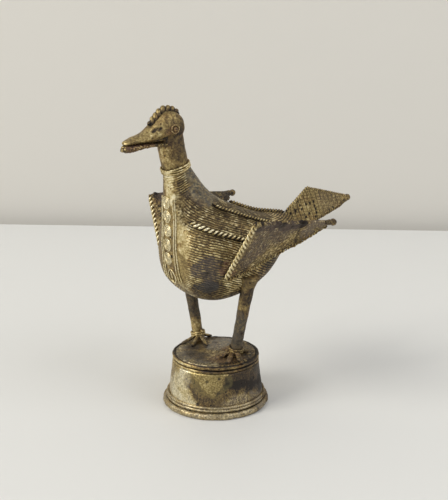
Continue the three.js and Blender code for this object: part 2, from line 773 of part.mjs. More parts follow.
// Grooves parallel to one edge of the kite, scored into both faces of the sheet
function makeGrooves(from, to, count) {
  const grooves = [];
  const along = to.clone().sub(from).normalize();
  const inwards = vector(0, along.z, -along.y);
  const reach = 2 * tailEnd.distanceTo(tailRoot);
  for (let i = 1; i <= count; i += 1) {
    for (const face of [-1, 1]) {
      const groove = new THREE.BoxGeometry(2 * latticeGrooveDepth, reach, latticeGrooveWidth);
      groove.rotateX(Math.atan2(along.z, along.y));
      const spot = from.clone().addScaledVector(inwards, i * latticeSpacing);
      grooves.push(groove.translate(face * tailThickness / 2, spot.y, spot.z));
    }
  }
  return grooves;
}

function makeTailPlate(...neighbours) {
  const outline = [tailRoot, tailTop, tailEnd, tailBottom, tailLow];
  const shape = new THREE.Shape(outline.map((p) => new THREE.Vector2(p.y, p.z)));
  const plate = new THREE.ExtrudeGeometry(shape, { depth: tailThickness, bevelEnabled: false });
  plate.translate(0, 0, -tailThickness / 2);
  plate.applyMatrix4(new THREE.Matrix4().makeBasis(vector(0, 1, 0), vector(0, 0, 1), vector(1, 0, 0)));
  const lattice = [...makeGrooves(tailRoot, tailTop, 5), ...makeGrooves(tailTop, tailEnd, 2)];
  const clearances = neighbours.map((piece) => grown(piece, seatGap));
  return cutBy(plate, bodyClearance, ...clearances, ...lattice);
}

const towardsEnd = tailEnd.clone().sub(tailRoot).normalize();
const tailBead = new THREE.IcosahedronGeometry(tailBeadRadius, 1);
tailBead.translate(...tailEnd.clone().addScaledVector(towardsEnd, tailBeadRadius));
const beadClearance = grown(tailBead, seatGap);
const upperEdge = makeTailEdge([tailRoot, tailTop, tailEnd], 1);
const lowerEdge = makeTailEdge([tailLow, tailBottom, tailEnd], -1);
place(bird, 'tail_plate', makeTailPlate(upperEdge, lowerEdge, tailBead), 'brass');
place(bird, 'tail_edge_thread_upper', upperEdge, 'brightBrass');
place(bird, 'tail_edge_thread_lower', lowerEdge, 'darkBrass');
place(bird, 'tail_bead', tailBead, 'brightBrass');

// Twisted cords along the back and flanks
function cordOnBody(route, lift) {
  return route.map(([along, around]) => onForm(bodyStations, along, around, lift));
}

const backCordRoute = [[0.27, 0.73], [0.35, 0.64], [0.44, 0.58], [0.54, 0.57], [0.64, 0.62]];
const flankCordRoute = [[0.2, 2.15], [0.25, 1.85], [0.31, 1.53], [0.37, 1.25], [0.43, 1.15]];
const spineRoute = [[0.4, 0], [0.52, 0], [0.64, 0], [0.76, 0], [0.86, 0]];
const cordLift = cordRadius + seatGap;
place(bird, 'spine_cord', twistedCord(cordOnBody(spineRoute, cordLift), cordRadius, cordPitch), 'darkBrass');
const leftBackCord = twistedCord(cordOnBody(backCordRoute, cordLift), cordRadius, cordPitch);
place(bird, 'back_cord_left', leftBackCord, 'brightBrass');
place(bird, 'back_cord_right', mirrored(leftBackCord), 'brightBrass');
const leftFlankCord = twistedCord(cordOnBody(flankCordRoute, cordLift), cordRadius, cordPitch);
place(bird, 'flank_cord_left', leftFlankCord, 'brightBrass');
place(bird, 'flank_cord_right', mirrored(leftFlankCord), 'brightBrass');

// Breast: a row of coiled threads ending in a leaf, between two border threads
function makeCoil() {
  const profile = [[0, 0], [coilRadius, 0]];
  const turnWidth = coilRadius / coilTurns;
  for (let turn = 0; turn < coilTurns; turn += 1) {
    const outer = coilRadius - turn * turnWidth;
    profile.push([outer, coilHeight * 0.45], [outer - turnWidth / 2, coilHeight]);
  }
  profile.push([0, coilHeight * 0.6]);
  return turned(profile, 12);
}

// How far along the form a place is that lies so many millimetres further down the middle of the breast
function downBreast(along, distance) {
  const step = 0.0005;
  let covered = 0;
  let reached = along;
  while (covered < distance) {
    const here = formPoint(bodyStations, reached, Math.PI);
    covered += here.distanceTo(formPoint(bodyStations, reached + step, Math.PI));
    reached += step;
  }
  return reached;
}

let coilAlong = 0.115;
for (let i = 0; i < coilCount; i += 1) {
  place(bird, `breast_coil_${i + 1}`, standOn(bodyStations, makeCoil(), coilAlong, Math.PI, seatGap), 'brightBrass');
  coilAlong = downBreast(coilAlong, 2 * coilRadius + coilGap);
}
const leaf = new THREE.IcosahedronGeometry(1, 1).scale(...leafSize);
const leafAlong = downBreast(coilAlong, leafSize[1] - coilRadius);
const leafSeat = leafSize[2] + seatGap;
place(bird, 'breast_leaf', standOn(bodyStations, leaf, leafAlong, Math.PI, leafSeat), 'brightBrass');

const borderRoute = [[0.1, 2.6], [0.16, 2.745], [0.23, 2.88], [0.3, 2.955], [0.35, 2.975], [0.39, 2.97]];
const borderPath = cordOnBody(borderRoute, borderThreadRadius + seatGap);
const leftBorder = rod(borderPath, () => borderThreadRadius, threadSides, 14);
place(bird, 'breast_border_left', leftBorder, 'brightBrass');
place(bird, 'breast_border_right', mirrored(leftBorder), 'brightBrass');

const figurine = new THREE.Group();
bird.position.set(birdSideOffset, 0, baseHeight);
figurine.add(base, bird);

// Origin at the middle of the underside of the whole figurine
const bounds = new THREE.Box3().setFromObject(figurine);
const middle = bounds.getCenter(vector(0, 0, 0));
figurine.position.set(-middle.x, -middle.y, -bounds.min.z);

export default figurine;
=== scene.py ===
import math
import bmesh
import bpy
import numpy as np
from mathutils import Matrix, Vector, noise


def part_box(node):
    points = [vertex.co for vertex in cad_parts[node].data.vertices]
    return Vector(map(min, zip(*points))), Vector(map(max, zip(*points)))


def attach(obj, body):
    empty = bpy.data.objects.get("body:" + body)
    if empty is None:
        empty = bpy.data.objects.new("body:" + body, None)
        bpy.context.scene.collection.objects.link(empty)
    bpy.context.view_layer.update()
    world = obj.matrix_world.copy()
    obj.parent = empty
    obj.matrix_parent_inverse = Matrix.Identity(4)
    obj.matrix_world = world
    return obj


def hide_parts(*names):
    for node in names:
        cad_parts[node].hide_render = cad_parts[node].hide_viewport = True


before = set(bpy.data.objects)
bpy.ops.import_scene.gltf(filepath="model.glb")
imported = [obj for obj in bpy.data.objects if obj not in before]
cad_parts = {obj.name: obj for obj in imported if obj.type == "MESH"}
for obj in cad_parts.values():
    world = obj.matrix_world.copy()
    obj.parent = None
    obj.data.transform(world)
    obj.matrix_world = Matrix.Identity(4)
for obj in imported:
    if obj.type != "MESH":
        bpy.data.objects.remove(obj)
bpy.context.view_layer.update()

# The peacock stands on a drum base that rests on the table, so the box of the base's foot gives its middle.
# Its pieces are measured in millimetres: those of the base from its middle, and those of the bird from the
# top of the base, where the bird stands a little to its own right.
base_height = 24.0
bird_offset = (-3.0, 0, base_height)
foot_low, foot_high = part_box("base_foot_band")
base_middle = Vector(((foot_low.x + foot_high.x) / 2, (foot_low.y + foot_high.y) / 2, 0))
bird_place = base_middle + Vector(bird_offset) / 1000


# Table, wall, light and camera, measured in metres
# A white table with a pale warm wall a finger's width behind it. The window is a broad soft light high on the
# left in front, and the room gives back a weaker light from the other side.
def plain_surface(name, colour, roughness):
    material = bpy.data.materials.new(name)
    material.use_nodes = True
    shader = material.node_tree.nodes["Principled BSDF"]
    shader.inputs["Base Color"].default_value = (*colour, 1)
    shader.inputs["Roughness"].default_value = roughness
    return material


def stage_sheet(name, corners, material):
    bm = bmesh.new()
    bm.faces.new([bm.verts.new(corner) for corner in corners])
    mesh = bpy.data.meshes.new(name)
    bm.to_mesh(mesh)
    bm.free()
    mesh.materials.append(material)
    sheet = bpy.data.objects.new(name, mesh)
    bpy.context.scene.collection.objects.link(sheet)


view_turn, view_tilt = math.radians(53.5), math.radians(15.7)
eye = base_middle + Vector((0.3433, -0.2493, 0.1902))
ahead = Vector((-math.sin(view_turn), math.cos(view_turn), 0))
aside = Vector((math.cos(view_turn), math.sin(view_turn), 0))
up = Vector((0, 0, 1))
wall_distance, wall_slant, wall_height = 0.753, 0.06, 3
half_width, table_depth, table_gap, edge_height = 3, 5, 0.013, 0.08
wall_middle = Vector((eye.x, eye.y, 0)) + ahead * wall_distance
wall_side = (aside - ahead * wall_slant).normalized()
left_end = wall_middle - wall_side * half_width
right_end = wall_middle + wall_side * half_width
left_edge, right_edge = left_end - ahead * table_gap, right_end - ahead * table_gap
nearer, higher, lower = ahead * -table_depth, up * wall_height, up * -edge_height
white_table = plain_surface("white table", (0.70, 0.70, 0.68), 0.55)
pale_wall = plain_surface("pale wall", (0.665, 0.642, 0.59), 0.9)
stage_sheet("table", [left_edge, left_end + nearer, right_end + nearer, right_edge], white_table)
stage_sheet("table_edge", [left_edge, right_edge, right_edge + lower, left_edge + lower], white_table)
stage_sheet("wall", [left_end + lower, right_end + lower, right_end + higher, left_end + higher], pale_wall)


def soft_light(name, place, aim, size, power, colour):
    lamp = bpy.data.lights.new(name, "AREA")
    lamp.shape = "RECTANGLE"
    lamp.size, lamp.size_y = size
    lamp.energy = power
    lamp.color = colour
    holder = bpy.data.objects.new(name, lamp)
    holder.location = place
    holder.rotation_mode = "QUATERNION"
    holder.rotation_quaternion = (aim - place).to_track_quat("-Z", "Y")
    bpy.context.scene.collection.objects.link(holder)


middle_of_bird = base_middle + Vector((0, 0, 0.07))
soft_light("window", middle_of_bird - aside * 1.7 - ahead * 0.9 + up * 1.5, middle_of_bird,
           (1.2, 1.0), 36.0, (1.0, 0.97, 0.9))
soft_light("room", middle_of_bird + aside * 0.82 - ahead * 0.38 + up * 0.9, middle_of_bird + ahead * 0.22,
           (0.75, 0.75), 3.9, (0.99, 0.99, 1.0))
world = bpy.data.worlds.new("room light")
world.use_nodes = True
world.node_tree.nodes["Background"].inputs["Color"].default_value = (0.93, 0.95, 1.0, 1)
world.node_tree.nodes["Background"].inputs["Strength"].default_value = 0.56
bpy.context.scene.world = world
bpy.context.scene.view_settings.view_transform = "Standard"

camera_data = bpy.data.cameras.new("camera")
camera_data.lens = 72
camera_data.sensor_width = 36
camera = bpy.data.objects.new("camera", camera_data)
camera.location = eye
looking = ahead * math.cos(view_tilt) - up * math.sin(view_tilt)
camera.rotation_mode = "QUATERNION"
camera.rotation_quaternion = looking.to_track_quat("-Z", "Y")
bpy.context.scene.collection.objects.link(camera)
bpy.context.scene.camera = camera


# Drum wall of the base
# A ring of cast brass, open underneath. It was cast with the bird, and its wall was filed smooth and has
# since gone olive, with a smoky patch to one side and a few small holes where gas escaped.
class Shade:
    """A value that changes over a surface. Arithmetic on it adds Math nodes to its finish."""

    def __init__(self, finish, socket):
        self.finish = finish
        self.socket = socket

    def __add__(self, other):
        return self.finish.maths("ADD", self, other)

    def __radd__(self, other):
        return self.finish.maths("ADD", other, self)

    def __sub__(self, other):
        return self.finish.maths("SUBTRACT", self, other)

    def __rsub__(self, other):
        return self.finish.maths("SUBTRACT", other, self)

    def __mul__(self, other):
        return self.finish.maths("MULTIPLY", self, other)

    def __rmul__(self, other):
        return self.finish.maths("MULTIPLY", other, self)

    def within(self, low, high):
        """0 below low, 1 above high and a smooth rise between them."""
        inputs = {"Value": self, "From Min": low, "From Max": high}
        return self.finish.add("ShaderNodeMapRange", {"interpolation_type": "SMOOTHSTEP"}, inputs)


class Finish:
    """A material and the ways of adding nodes to it."""

    def __init__(self, name):
        self.material = bpy.data.materials.new(name)
        self.material.use_nodes = True
        self.tree = self.material.node_tree
        self.shader = self.tree.nodes["Principled BSDF"]

    def add(self, kind, settings, inputs, output=0):
        """A node of a kind, with its settings and the values or links of its sockets."""
        node = self.tree.nodes.new(kind)
        for name, value in settings.items():
            if name == "stops":
                for _ in range(len(value) - 2):
                    node.color_ramp.elements.new(0.5)
                for stop, (place, colour) in zip(node.color_ramp.elements, value):
                    stop.position = place
                    stop.color = (*colour, 1)
            else:
                setattr(node, name, value)
        for name, value in inputs.items():
            if isinstance(value, Shade):
                self.tree.links.new(value.socket, node.inputs[name])
            else:
                node.inputs[name].default_value = value
        return Shade(self, node.outputs[output])

    def feed(self, name, value):
        self.tree.links.new(value.socket, self.shader.inputs[name])

    def cloudy(self, place, size, detail=3, roughness=0.55, warp=0):
        """Clouds of about the given size in millimetres."""
        inputs = {"Vector": place, "Scale": 1000 / size, "Detail": detail, "Roughness": roughness}
        return self.add("ShaderNodeTexNoise", {}, {**inputs, "Distortion": warp})

    def mixed(self, share, first, second, blend="MIX"):
        """A colour between two colours, or one colour tinted by another."""
        first, second = (colour if isinstance(colour, Shade) else (*colour, 1) for colour in (first, second))
        settings = {"data_type": "RGBA", "blend_type": blend}
        return self.add("ShaderNodeMix", settings, {0: share, 6: first, 7: second}, 2)

    def patch(self, place, middles, reach, ragged=0.7, grain=4.5, edge=0.4):
        """1 round some points of the piece and 0 beyond their reach in millimetres, with a torn edge."""
        nearest = None
        for middle in middles:
            ends = {0: place, 1: tuple(middle)}
            away = self.add("ShaderNodeVectorMath", {"operation": "DISTANCE"}, ends, "Value")
            nearest = away if nearest is None else self.maths("MINIMUM", nearest, away)
        torn = (self.cloudy(place, grain, 4, 0.65) - 0.5) * (2 * ragged)
        return 1 - (nearest * (1000 / reach) + torn).within(1 - edge, 1.0)

    def maths(self, operation, *values):
        return self.add("ShaderNodeMath", {"operation": operation}, dict(enumerate(values)))


# From the dirt left in the hollows, through dull olive brass, to the brass that hands have rubbed bright
brass_tones = [
    (0.0, (0.018, 0.013, 0.008)),
    (0.2, (0.064, 0.043, 0.021)),
    (0.4, (0.188, 0.132, 0.056)),
    (0.6, (0.385, 0.292, 0.122)),
    (0.8, (0.66, 0.55, 0.29)),
    (1.0, (0.9, 0.81, 0.55)),
]
sandy_patina = (0.36, 0.285, 0.19)
fire_red = (0.36, 0.18, 0.105)


def aged_brass(name, brightness, contrast=1.0, threads=0.0, bright=(), dark=(), stains=(), holes=(),
               pitting=0.5, grain=0.8, speckling=1.35, mottle_size=4.5, roughness=0.64, drawn_out=(1, 1, 1),
               lay=None):
    """Brass with patches, mottling, grain and pits.

    Bright and dark patches are (points, reach, amount), and a stain adds its colour to these. Threads darken
    the slots of a piece by its relief, or by a lay worked out in the material. Drawn_out stretches the grain.
    """
    finish = Finish(name)
    place = finish.add("ShaderNodeTexCoord", {}, {}, "Object")
    patches = finish.cloudy(place, 20, 2, 0.5, 0.6)
    mottle = finish.cloudy(place, mottle_size, 5, 0.65, 0.4)
    grain_place = finish.add("ShaderNodeVectorMath", {"operation": "MULTIPLY"}, {0: place, 1: drawn_out})
    speckle = finish.cloudy(grain_place, grain, 3, 0.7)
    tone = (patches - 0.5) * (0.5 * contrast) + (mottle - 0.5) * (0.9 * contrast)
    tone = tone + (speckle - 0.5) * speckling + brightness
    fleck = speckle.within(0.3, 0.7)
    relief = finish.add("ShaderNodeAttribute", {"attribute_name": "relief"}, {}, "Fac")
    surface = mottle * 0.3 + speckle * 0.45
    if lay:
        shown, ridge = lay(finish, place, mottle)
        tone = tone + (ridge - 0.73) * shown * threads
        surface = surface + ridge * shown * 1.5
        fleck = fleck * (1 - shown + ridge.within(0.4, 0.9) * shown * 1.3)
    elif threads:
        tone = tone + (relief - 0.6) * threads
    # Bright and dark patches are wear and patina in some places, and painted highlights and painted shade in
    # others.
    for middles, reach, amount in bright:
        tone = tone + finish.patch(place, middles, reach) * amount
    for middles, reach, amount in dark:
        tone = tone - finish.patch(place, middles, reach) * amount
    pits = finish.add("ShaderNodeTexVoronoi", {}, {"Vector": place, "Scale": 430.0}, "Distance")
    rare = finish.cloudy(place, 3.0, 2).within(0.50, 0.62)
    hollow = (1 - pits.within(0.10, 0.24)) * rare * pitting
    if holes:
        hollow = hollow + finish.patch(place, holes, 0.85, 0.15, 0.8)
    tone = tone - hollow * 0.5
    colour = finish.add("ShaderNodeValToRGB", {"stops": brass_tones}, {"Fac": tone})
    rusty = finish.cloudy(place, 6, 4, 0.6, 0.5).within(0.45, 0.7) * (0.9 - tone)
    colour = finish.mixed(rusty, colour, (1.06, 0.84, 0.68), "MULTIPLY")
    for middles, reach, amount, tint in stains:
        share = finish.patch(place, middles, reach, 0.6) * mottle.within(0.25, 0.55) * (1.35 - fleck) * amount
        shaded = tuple(part * 0.3 for part in tint)
        colour = finish.mixed(share, colour, finish.mixed(fleck, shaded, tint))
    finish.feed("Base Color", colour)
    finish.feed("Roughness", roughness - tone * 0.32 + (speckle - 0.5) * 0.25)
    finish.feed("Metallic", 0.35 + tone.within(0.1, 0.6) * 0.55)
    heights = {"Height": surface - hollow * 1.2, "Strength": 0.7, "Distance": 0.0004}
    finish.feed("Normal", finish.add("ShaderNodeBump", {}, heights, "Normal"))
    return finish.material


def on_base(x, y, z):
    return base_middle + Vector((x, y, z)) / 1000


def turned(profile, steps, closed=True):
    """A profile of (radius, height) turned round the middle of the base."""
    bm = bmesh.new()
    points = [bm.verts.new(on_base(radius, 0, height)) for radius, height in profile]
    edges = [bm.edges.new(pair) for pair in zip(points, points[1:])]
    if closed:
        edges.append(bm.edges.new((points[-1], points[0])))
    bmesh.ops.spin(bm, geom=points + edges, cent=base_middle, axis=(0, 0, 1), dvec=(0, 0, 0),
                   angle=2 * math.pi, steps=steps, use_merge=True, use_duplicate=False)
    bmesh.ops.remove_doubles(bm, verts=bm.verts[:], dist=1e-7)
    bmesh.ops.recalc_face_normals(bm, faces=bm.faces[:])
    return bm


def unevened(bm, depth, size, seed):
    """Leaves a hand-worked surface: each point moves a little in or out."""
    bm.normal_update()
    shift = Vector((seed * 3.7, seed * 1.3, seed * 2.1))
    for vert in bm.verts:
        coarse = noise.noise(vert.co * (1000 / size) + shift)
        fine = noise.noise(vert.co * (2200 / size) + shift)
        vert.co += vert.normal * (coarse + 0.5 * fine) * depth / 1000


def set_down(bm):
    """Keeps a piece from reaching below the table."""
    for vert in bm.verts:
        vert.co.z = max(vert.co.z, 0)


def piece(name, shape, material, nodes):
    """A finished piece that stands for the named CAD nodes. Nothing moves, so all ride on the root."""
    mesh = shape
    if isinstance(shape, bmesh.types.BMesh):
        mesh = bpy.data.meshes.new(name)
        shape.to_mesh(mesh)
        shape.free()
    mesh.materials.append(material)
    mesh.polygons.foreach_set("use_smooth", [True] * len(mesh.polygons))
    thing = bpy.data.objects.new(name, mesh)
    bpy.context.scene.collection.objects.link(thing)
    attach(thing, "root")
    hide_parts(*nodes)


drum_foot, drum_shoulder, drum_wall = 22.3, 19.6, 2.2
disc_dome, rim_height, rim_width, seat_gap = 0.6, 4.0, 1.7, 0.3
shoulder_height = base_height - disc_dome - rim_height + seat_gap
disc_radius = drum_shoulder - rim_width - seat_gap / 2
disc_seat = 21.9
wall_steps = 26


def drum_radius(height):
    """The drum narrows towards its shoulder, faster near the foot."""
    share = min(max(height / shoulder_height, 0), 1)
    flare = 1 - math.sin(share * math.pi / 2)
    return drum_shoulder + (drum_foot - drum_shoulder) * (0.55 * (1 - share) + 0.45 * flare)


wall_heights = [shoulder_height * step / wall_steps for step in range(wall_steps + 1)]
drum_profile = [(drum_radius(height), height) for height in wall_heights]
drum_profile += [(disc_radius, shoulder_height), (disc_radius, disc_seat)]
drum_profile += [(disc_radius - drum_wall, disc_seat)]
drum_profile += [(drum_radius(height) - drum_wall, height) for height in wall_heights[-2::-4]]
drum_profile += [(drum_radius(0) - drum_wall, 0)]
drum = turned(drum_profile, 200)
unevened(drum, 0.16, 9, 1)
set_down(drum)


def drum_spots(*places):
    """Spots on the wall of the drum, each given in degrees round it and as a height."""
    spots = []
    for degrees, height in places:
        turn, radius = math.radians(degrees), drum_radius(height)
        spots.append(on_base(radius * math.cos(turn), radius * math.sin(turn), height))
    return spots


def ring_spots(height, *degrees):
    """Spots at one height round the drum."""
    return drum_spots(*((turn, height) for turn in degrees))


smoke_band = drum_spots(
    (-70, 15.5), (-66, 14.5), (-61, 13), (-56, 11), (-52, 9.2), (-47, 7.8), (-43, 6.8), (-38, 6.6),
    (-34, 7.2), (-29, 9.2), (-23, 11.5), (-18, 12.6), (-12, 13), (-4, 13), (4, 12.4), (12, 11.6),
    (22, 10.5), (36, 9), (51, 7))
smoky_shoulder = drum_spots((30, 16), (15, 15), (2, 17), (-10, 17), (45, 14))
# Painted shade: the side of the drum turned away from the window is darkened.
drum_painted_shade = drum_spots((45, 8), (60, 6), (75, 10))
olive_side = drum_spots((-62, 18), (-56, 15.5), (-48, 14), (-40, 13), (-50, 18), (-36, 17), (-27, 16.5))
# Painted highlight: the side of the drum that faces the window is brightened and tinted pale silver.
drum_painted_highlight = drum_spots((-80, 17), (-84, 13), (-77, 8), (-74, 4), (-95, 14), (-97, 8), (-90, 4), (-110, 10),
                         (-69, 4), (-83, 8))
sandy_side = drum_spots((-31, 2), (-22, 4), (-12, 6), (0, 6.5), (12, 5.5), (25, 4), (40, 3), (-8, 3))
gas_holes = drum_spots((-31.5, 18), (-13, 8.5), (-58, 6), (20, 15), (-47, 16.5), (18, 5.5), (-1, 7.6))
silvery_painted_highlight_tint, olive_patina = (0.86, 0.80, 0.64), (0.40, 0.33, 0.12)
# The bright patch and pale tint on the window side are a painted highlight.
drum_finish = aged_brass(
    "drum brass", 0.58, 0.75, mottle_size=6, grain=0.7, speckling=1.15, pitting=1.0, roughness=0.56,
    bright=[(drum_painted_highlight, 4.5, 0.24)],
    dark=[(smoke_band, 4.0, 0.3), (smoky_shoulder, 6.5, 0.48), (drum_painted_shade, 8, 0.38)],
    stains=[(drum_painted_highlight, 5, 0.5, silvery_painted_highlight_tint), (sandy_side, 4.9, 1.0, sandy_patina),
            (olive_side, 5, 0.4, olive_patina)],
    holes=gas_holes)
piece("drum_wall", drum, drum_finish, ["base_drum"])


# Foot of the base: a rounded band with two fine threads above it
# The band was a strip of wax laid round the foot of the drum. The threads are drawn wax, pressed on above it.
def drawn_thread(points, radii, closed=False, fineness=3):
    """A round thread along a row of points, with its own radius at each of them."""
    curve = bpy.data.curves.new("thread", "CURVE")
    curve.dimensions = "3D"
    curve.bevel_depth = 0.001
    curve.bevel_resolution = fineness
    curve.use_fill_caps = True
    spline = curve.splines.new("POLY")
    spline.points.add(len(points) - 1)
    for knot, place, radius in zip(spline.points, points, radii):
        knot.co = (*place, 1)
        knot.radius = radius
    spline.use_cyclic_u = closed
    holder = bpy.data.objects.new("thread", curve)
    mesh = bpy.data.meshes.new_from_object(holder)
    bpy.data.objects.remove(holder)
    bpy.data.curves.remove(curve)
    return mesh


def gathered(meshes):
    """Several meshes in one bmesh, with their doubled points merged."""
    bm = bmesh.new()
    for mesh in meshes:
        bm.from_mesh(mesh)
        bpy.data.meshes.remove(mesh)
    bmesh.ops.remove_doubles(bm, verts=bm.verts[:], dist=1e-7)
    bmesh.ops.recalc_face_normals(bm, faces=bm.faces[:])
    return bm


def ring_on_base(radius, height, thickness, seed):
    """A hand-laid ring of thread round the base, with small waves in its run and its thickness."""
    points, radii, steps = [], [], 180
    for step in range(steps):
        turn = 2 * math.pi * step / steps
        around = Vector((math.cos(turn), math.sin(turn), 0))
        wave = noise.noise(around * 3 + Vector((seed, 0, 0)))
        points.append(on_base(*(around * (radius + 0.08 * wave)).xy, height + 0.12 * wave))
        radii.append(thickness * (1 + 0.10 * noise.noise(around * 9 + Vector((0, seed, 0)))))
    return drawn_thread(points, radii, closed=True)


band_half_height, band_bulge = 1.45, 1.35
foot_profile = [(drum_foot + 0.1, 0.0), (drum_foot + 0.9, 0.0)]
for step in range(13):
    angle = math.radians(-60 + step * 12.2)
    bulge = drum_foot + 0.35 + band_bulge * math.cos(angle)
    foot_profile.append((bulge, band_half_height * (1 + math.sin(angle))))
foot_profile.append((drum_foot + 0.1, 2 * band_half_height))
foot = turned(foot_profile, 200)
unevened(foot, 0.26, 4, 2)
set_down(foot)
foot_finish = aged_brass(
    "foot brass", 0.60, 1.0, mottle_size=3.5, pitting=1.2, speckling=1.1,
    # A painted highlight on the side towards the window, and painted shade on the side away from it.
    bright=[(ring_spots(1.5, -88, -72, -58, -42), 8, 0.08)],
    dark=[(ring_spots(2, 30, 45, 60, 75), 9, 0.26)],
    stains=[(ring_spots(2, -110, -85, -60, -35, -10, 15), 10, 0.75, (0.56, 0.48, 0.35))])
piece("foot_band", foot, foot_finish, ["base_foot_band"])
for name, height, seed in (("lower", 3.75, 3), ("upper", 5.0, 4)):
    ring = gathered([ring_on_base(drum_radius(height) + 0.35, height, 0.62, seed)])
    piece(f"foot_thread_{name}", ring, foot_finish, [f"base_foot_thread_{name}"])

# Rim of the base: two threads, one on the other, round the edge of the top
# They are drawn wax like those of the foot, dull along their backs, with black dirt left in the grooves.
rim_finish = aged_brass("rim brass", 0.25, 1.1, threads=0.9, pitting=1.0, mottle_size=2.6, speckling=1.0,
                        # The bright patch on the side towards the window is a painted highlight.
                        bright=[(ring_spots(19, -110, -95, -80), 8, 0.12)],
                        dark=[(ring_spots(19, -35, -15, 0, 15, 30, 45, 60), 8, 0.2)])


def mark_ring(mesh, radius, height, thickness):
    """Marks a ring of thread from 0 in the grooves above and below it to 1 along its back."""
    shares = []
    for vert in mesh.vertices:
        spot = vert.co - base_middle
        out = Vector((spot.x, spot.y)).length * 1000 - radius
        rise = abs(spot.z * 1000 - height)
        shares.append(min(max(1.15 - 0.9 * rise / thickness + 0.25 * out / thickness, 0), 1))
    mesh.attributes.new("relief", "FLOAT", "POINT").data.foreach_set("value", shares)


rim_radius = disc_radius + 1.05
for name, height, thickness, seed in (("lower", 20.6, 0.72, 5), ("upper", 22.45, 0.9, 6)):
    ring = ring_on_base(rim_radius, height, thickness, seed)
    mark_ring(ring, rim_radius, height, thickness)
    ring = gathered([ring])
    unevened(ring, 0.18, 2.4, seed)
    piece(f"rim_thread_{name}", ring, rim_finish, [f"base_rim_thread_{name}"])


# Top of the base
# A disc of wax sheet that closed the drum. It is rough, dark and lumpy, because the file never reached it.
def top_spots(*places):
    """Spots on the top of the base."""
    return [on_base(*place, base_height) for place in places]


disc_underside, disc_lap, disc_steps = 22.2, 0.25, 22
disc_profile = [(0.0, disc_underside), (disc_radius + disc_lap, disc_underside)]
for step in range(disc_steps + 1):
    share = 1 - step / disc_steps
    disc_profile.append(((disc_radius + disc_lap) * share, base_height - disc_dome * share ** 2))
disc = turned(disc_profile, 150, closed=False)
disc.normal_update()
relief = disc.verts.layers.float.new("relief")
crumbs = top_spots((7.8, -0.4), (9.9, -6.5), (3, 4.8), (6.7, 4.3), (12, -3), (13, 2), (9, -3))
crumb_reach = 5.5
for vert in disc.verts:
    if vert.normal.z > 0.5:
        near = min((vert.co - crumb).length for crumb in crumbs) * 1000
        crumbled = max(0, 1 - near / crumb_reach)
        lumps = noise.fractal(vert.co * 260, 0.9, 2.1, 4)
        grains = noise.noise(vert.co * 800)
        vert.co.z += (0.28 * lumps + (0.08 + 0.75 * crumbled) * grains + 0.6 * crumbled - 0.1) / 1000
        vert[relief] = 0.6 + (0.35 * lumps + 1.1 * grains) * (0.3 + crumbled)
# The lip of the top on the side towards the window is tinted pale grey-beige and brightened as a painted
# highlight.
edge_radius = 16.6
edge_turns = [math.radians(degrees) for degrees in range(-160, -30, 12)]
pale_lip_and_painted_highlight = top_spots(*((edge_radius * math.cos(turn), edge_radius * math.sin(turn)) for turn in edge_turns))
soot = top_spots((-4.5, -11), (-4.2, -15), (1.1, -9.4), (6.5, -11.5), (-10, -6), (-2, -13))
far_side = top_spots((-6.6, 7.3), (-3.9, 2.5), (-8, 12))
disc_finish = aged_brass(
    "top of base brass", 0.38, 1.1, threads=0.7, mottle_size=2.8, pitting=1.0, speckling=1.8,
    bright=[(pale_lip_and_painted_highlight, 2.2, 0.24), (top_spots((-15, -6.5), (-12, -5)), 3.5, 0.12)],
    dark=[(soot, 4.2, 0.26), (top_spots((13, -4), (13, 6), (8, 13), (3, 16)), 5.5, 0.22)],
    stains=[(far_side, 6.5, 0.9, (0.33, 0.305, 0.255)), (pale_lip_and_painted_highlight, 3.5, 0.7, (0.36, 0.32, 0.25)),
            (soot, 6, 0.5, (0.15, 0.13, 0.095)), (crumbs, 4.5, 0.65, (0.30, 0.185, 0.10))])
piece("top_of_base", disc, disc_finish, ["base_top_disc"])


# Body
# The core of clay was wound with drawn wax threads about a millimetre thick, laid side by side from the spine
# down the flanks and in rings up the neck. Along the breast they were smoothed into a plain band.
def on_bird(point):
    return bird_place + Vector(point) / 1000


# A station is a cross-section: the (y, z) of its back and of its front, its half width and its pear shape
body_stations = [
    (-13.1, 87.2, -23.8, 83.8, 5.3, 0), (-8.5, 80.9, -23.6, 72.5, 7, 0.05),
    (-3.8, 75.4, -22.6, 61, 10.5, 0.3), (1.5, 70.9, -22.5, 49.5, 15.8, 0.35),
    (9.9, 66.7, -19.6, 35, 20.2, 0.25), (17.6, 63.4, -9, 26.1, 21.6, 0.18),
    (25, 60.8, 3, 25.3, 21, 0.12), (32, 59.3, 14.6, 28.4, 18, 0.06),
    (38.5, 58, 25.2, 34.4, 12.8, 0), (43, 56.8, 34.5, 42, 8.2, 0), (46, 55, 42, 49, 4.5, 0),
]
fullness = 0.88


def along_stations(stations, along):
    """Reads one station off a smooth curve through a row of them."""
    rows = np.asarray(stations, float)
    rows = np.vstack([2 * rows[0] - rows[1], rows, 2 * rows[-1] - rows[-2]])
    place = np.clip(along, 0, 1) * (len(stations) - 1)
    first = np.minimum(np.floor(place).astype(int), len(stations) - 2)
    t = (place - first)[..., None]
    p0, p1, p2, p3 = (rows[first + step] for step in range(4))
    cubic = 2 * p1 - 2 * p2 + (p2 - p0) / 2 + (p3 - p1) / 2
    square = -3 * p1 + 3 * p2 - (p2 - p0) - (p3 - p1) / 2
    return ((cubic * t + square) * t + (p2 - p0) / 2) * t + p1


def form(stations, along, around):
    """Points of a lofted form: along from 0 to 1, around as an angle from its back over its left."""
    along, around = np.broadcast_arrays(np.asarray(along, float), np.asarray(around, float))
    read = along_stations(stations, along)
    back, front = read[..., 0:2], read[..., 2:4]
    sine, cosine = np.sin(around), np.cos(around)
    full = np.sign(sine) * np.abs(sine) ** fullness
    pear = read[..., 5]
    side = read[..., 4] * full * (1 - pear * cosine) / (1 + pear ** 2 / 2)
    middle = (back + front) / 2 - (front - back) * (cosine / 2)[..., None]
    return np.stack([side, middle[..., 0], middle[..., 1]], axis=-1)


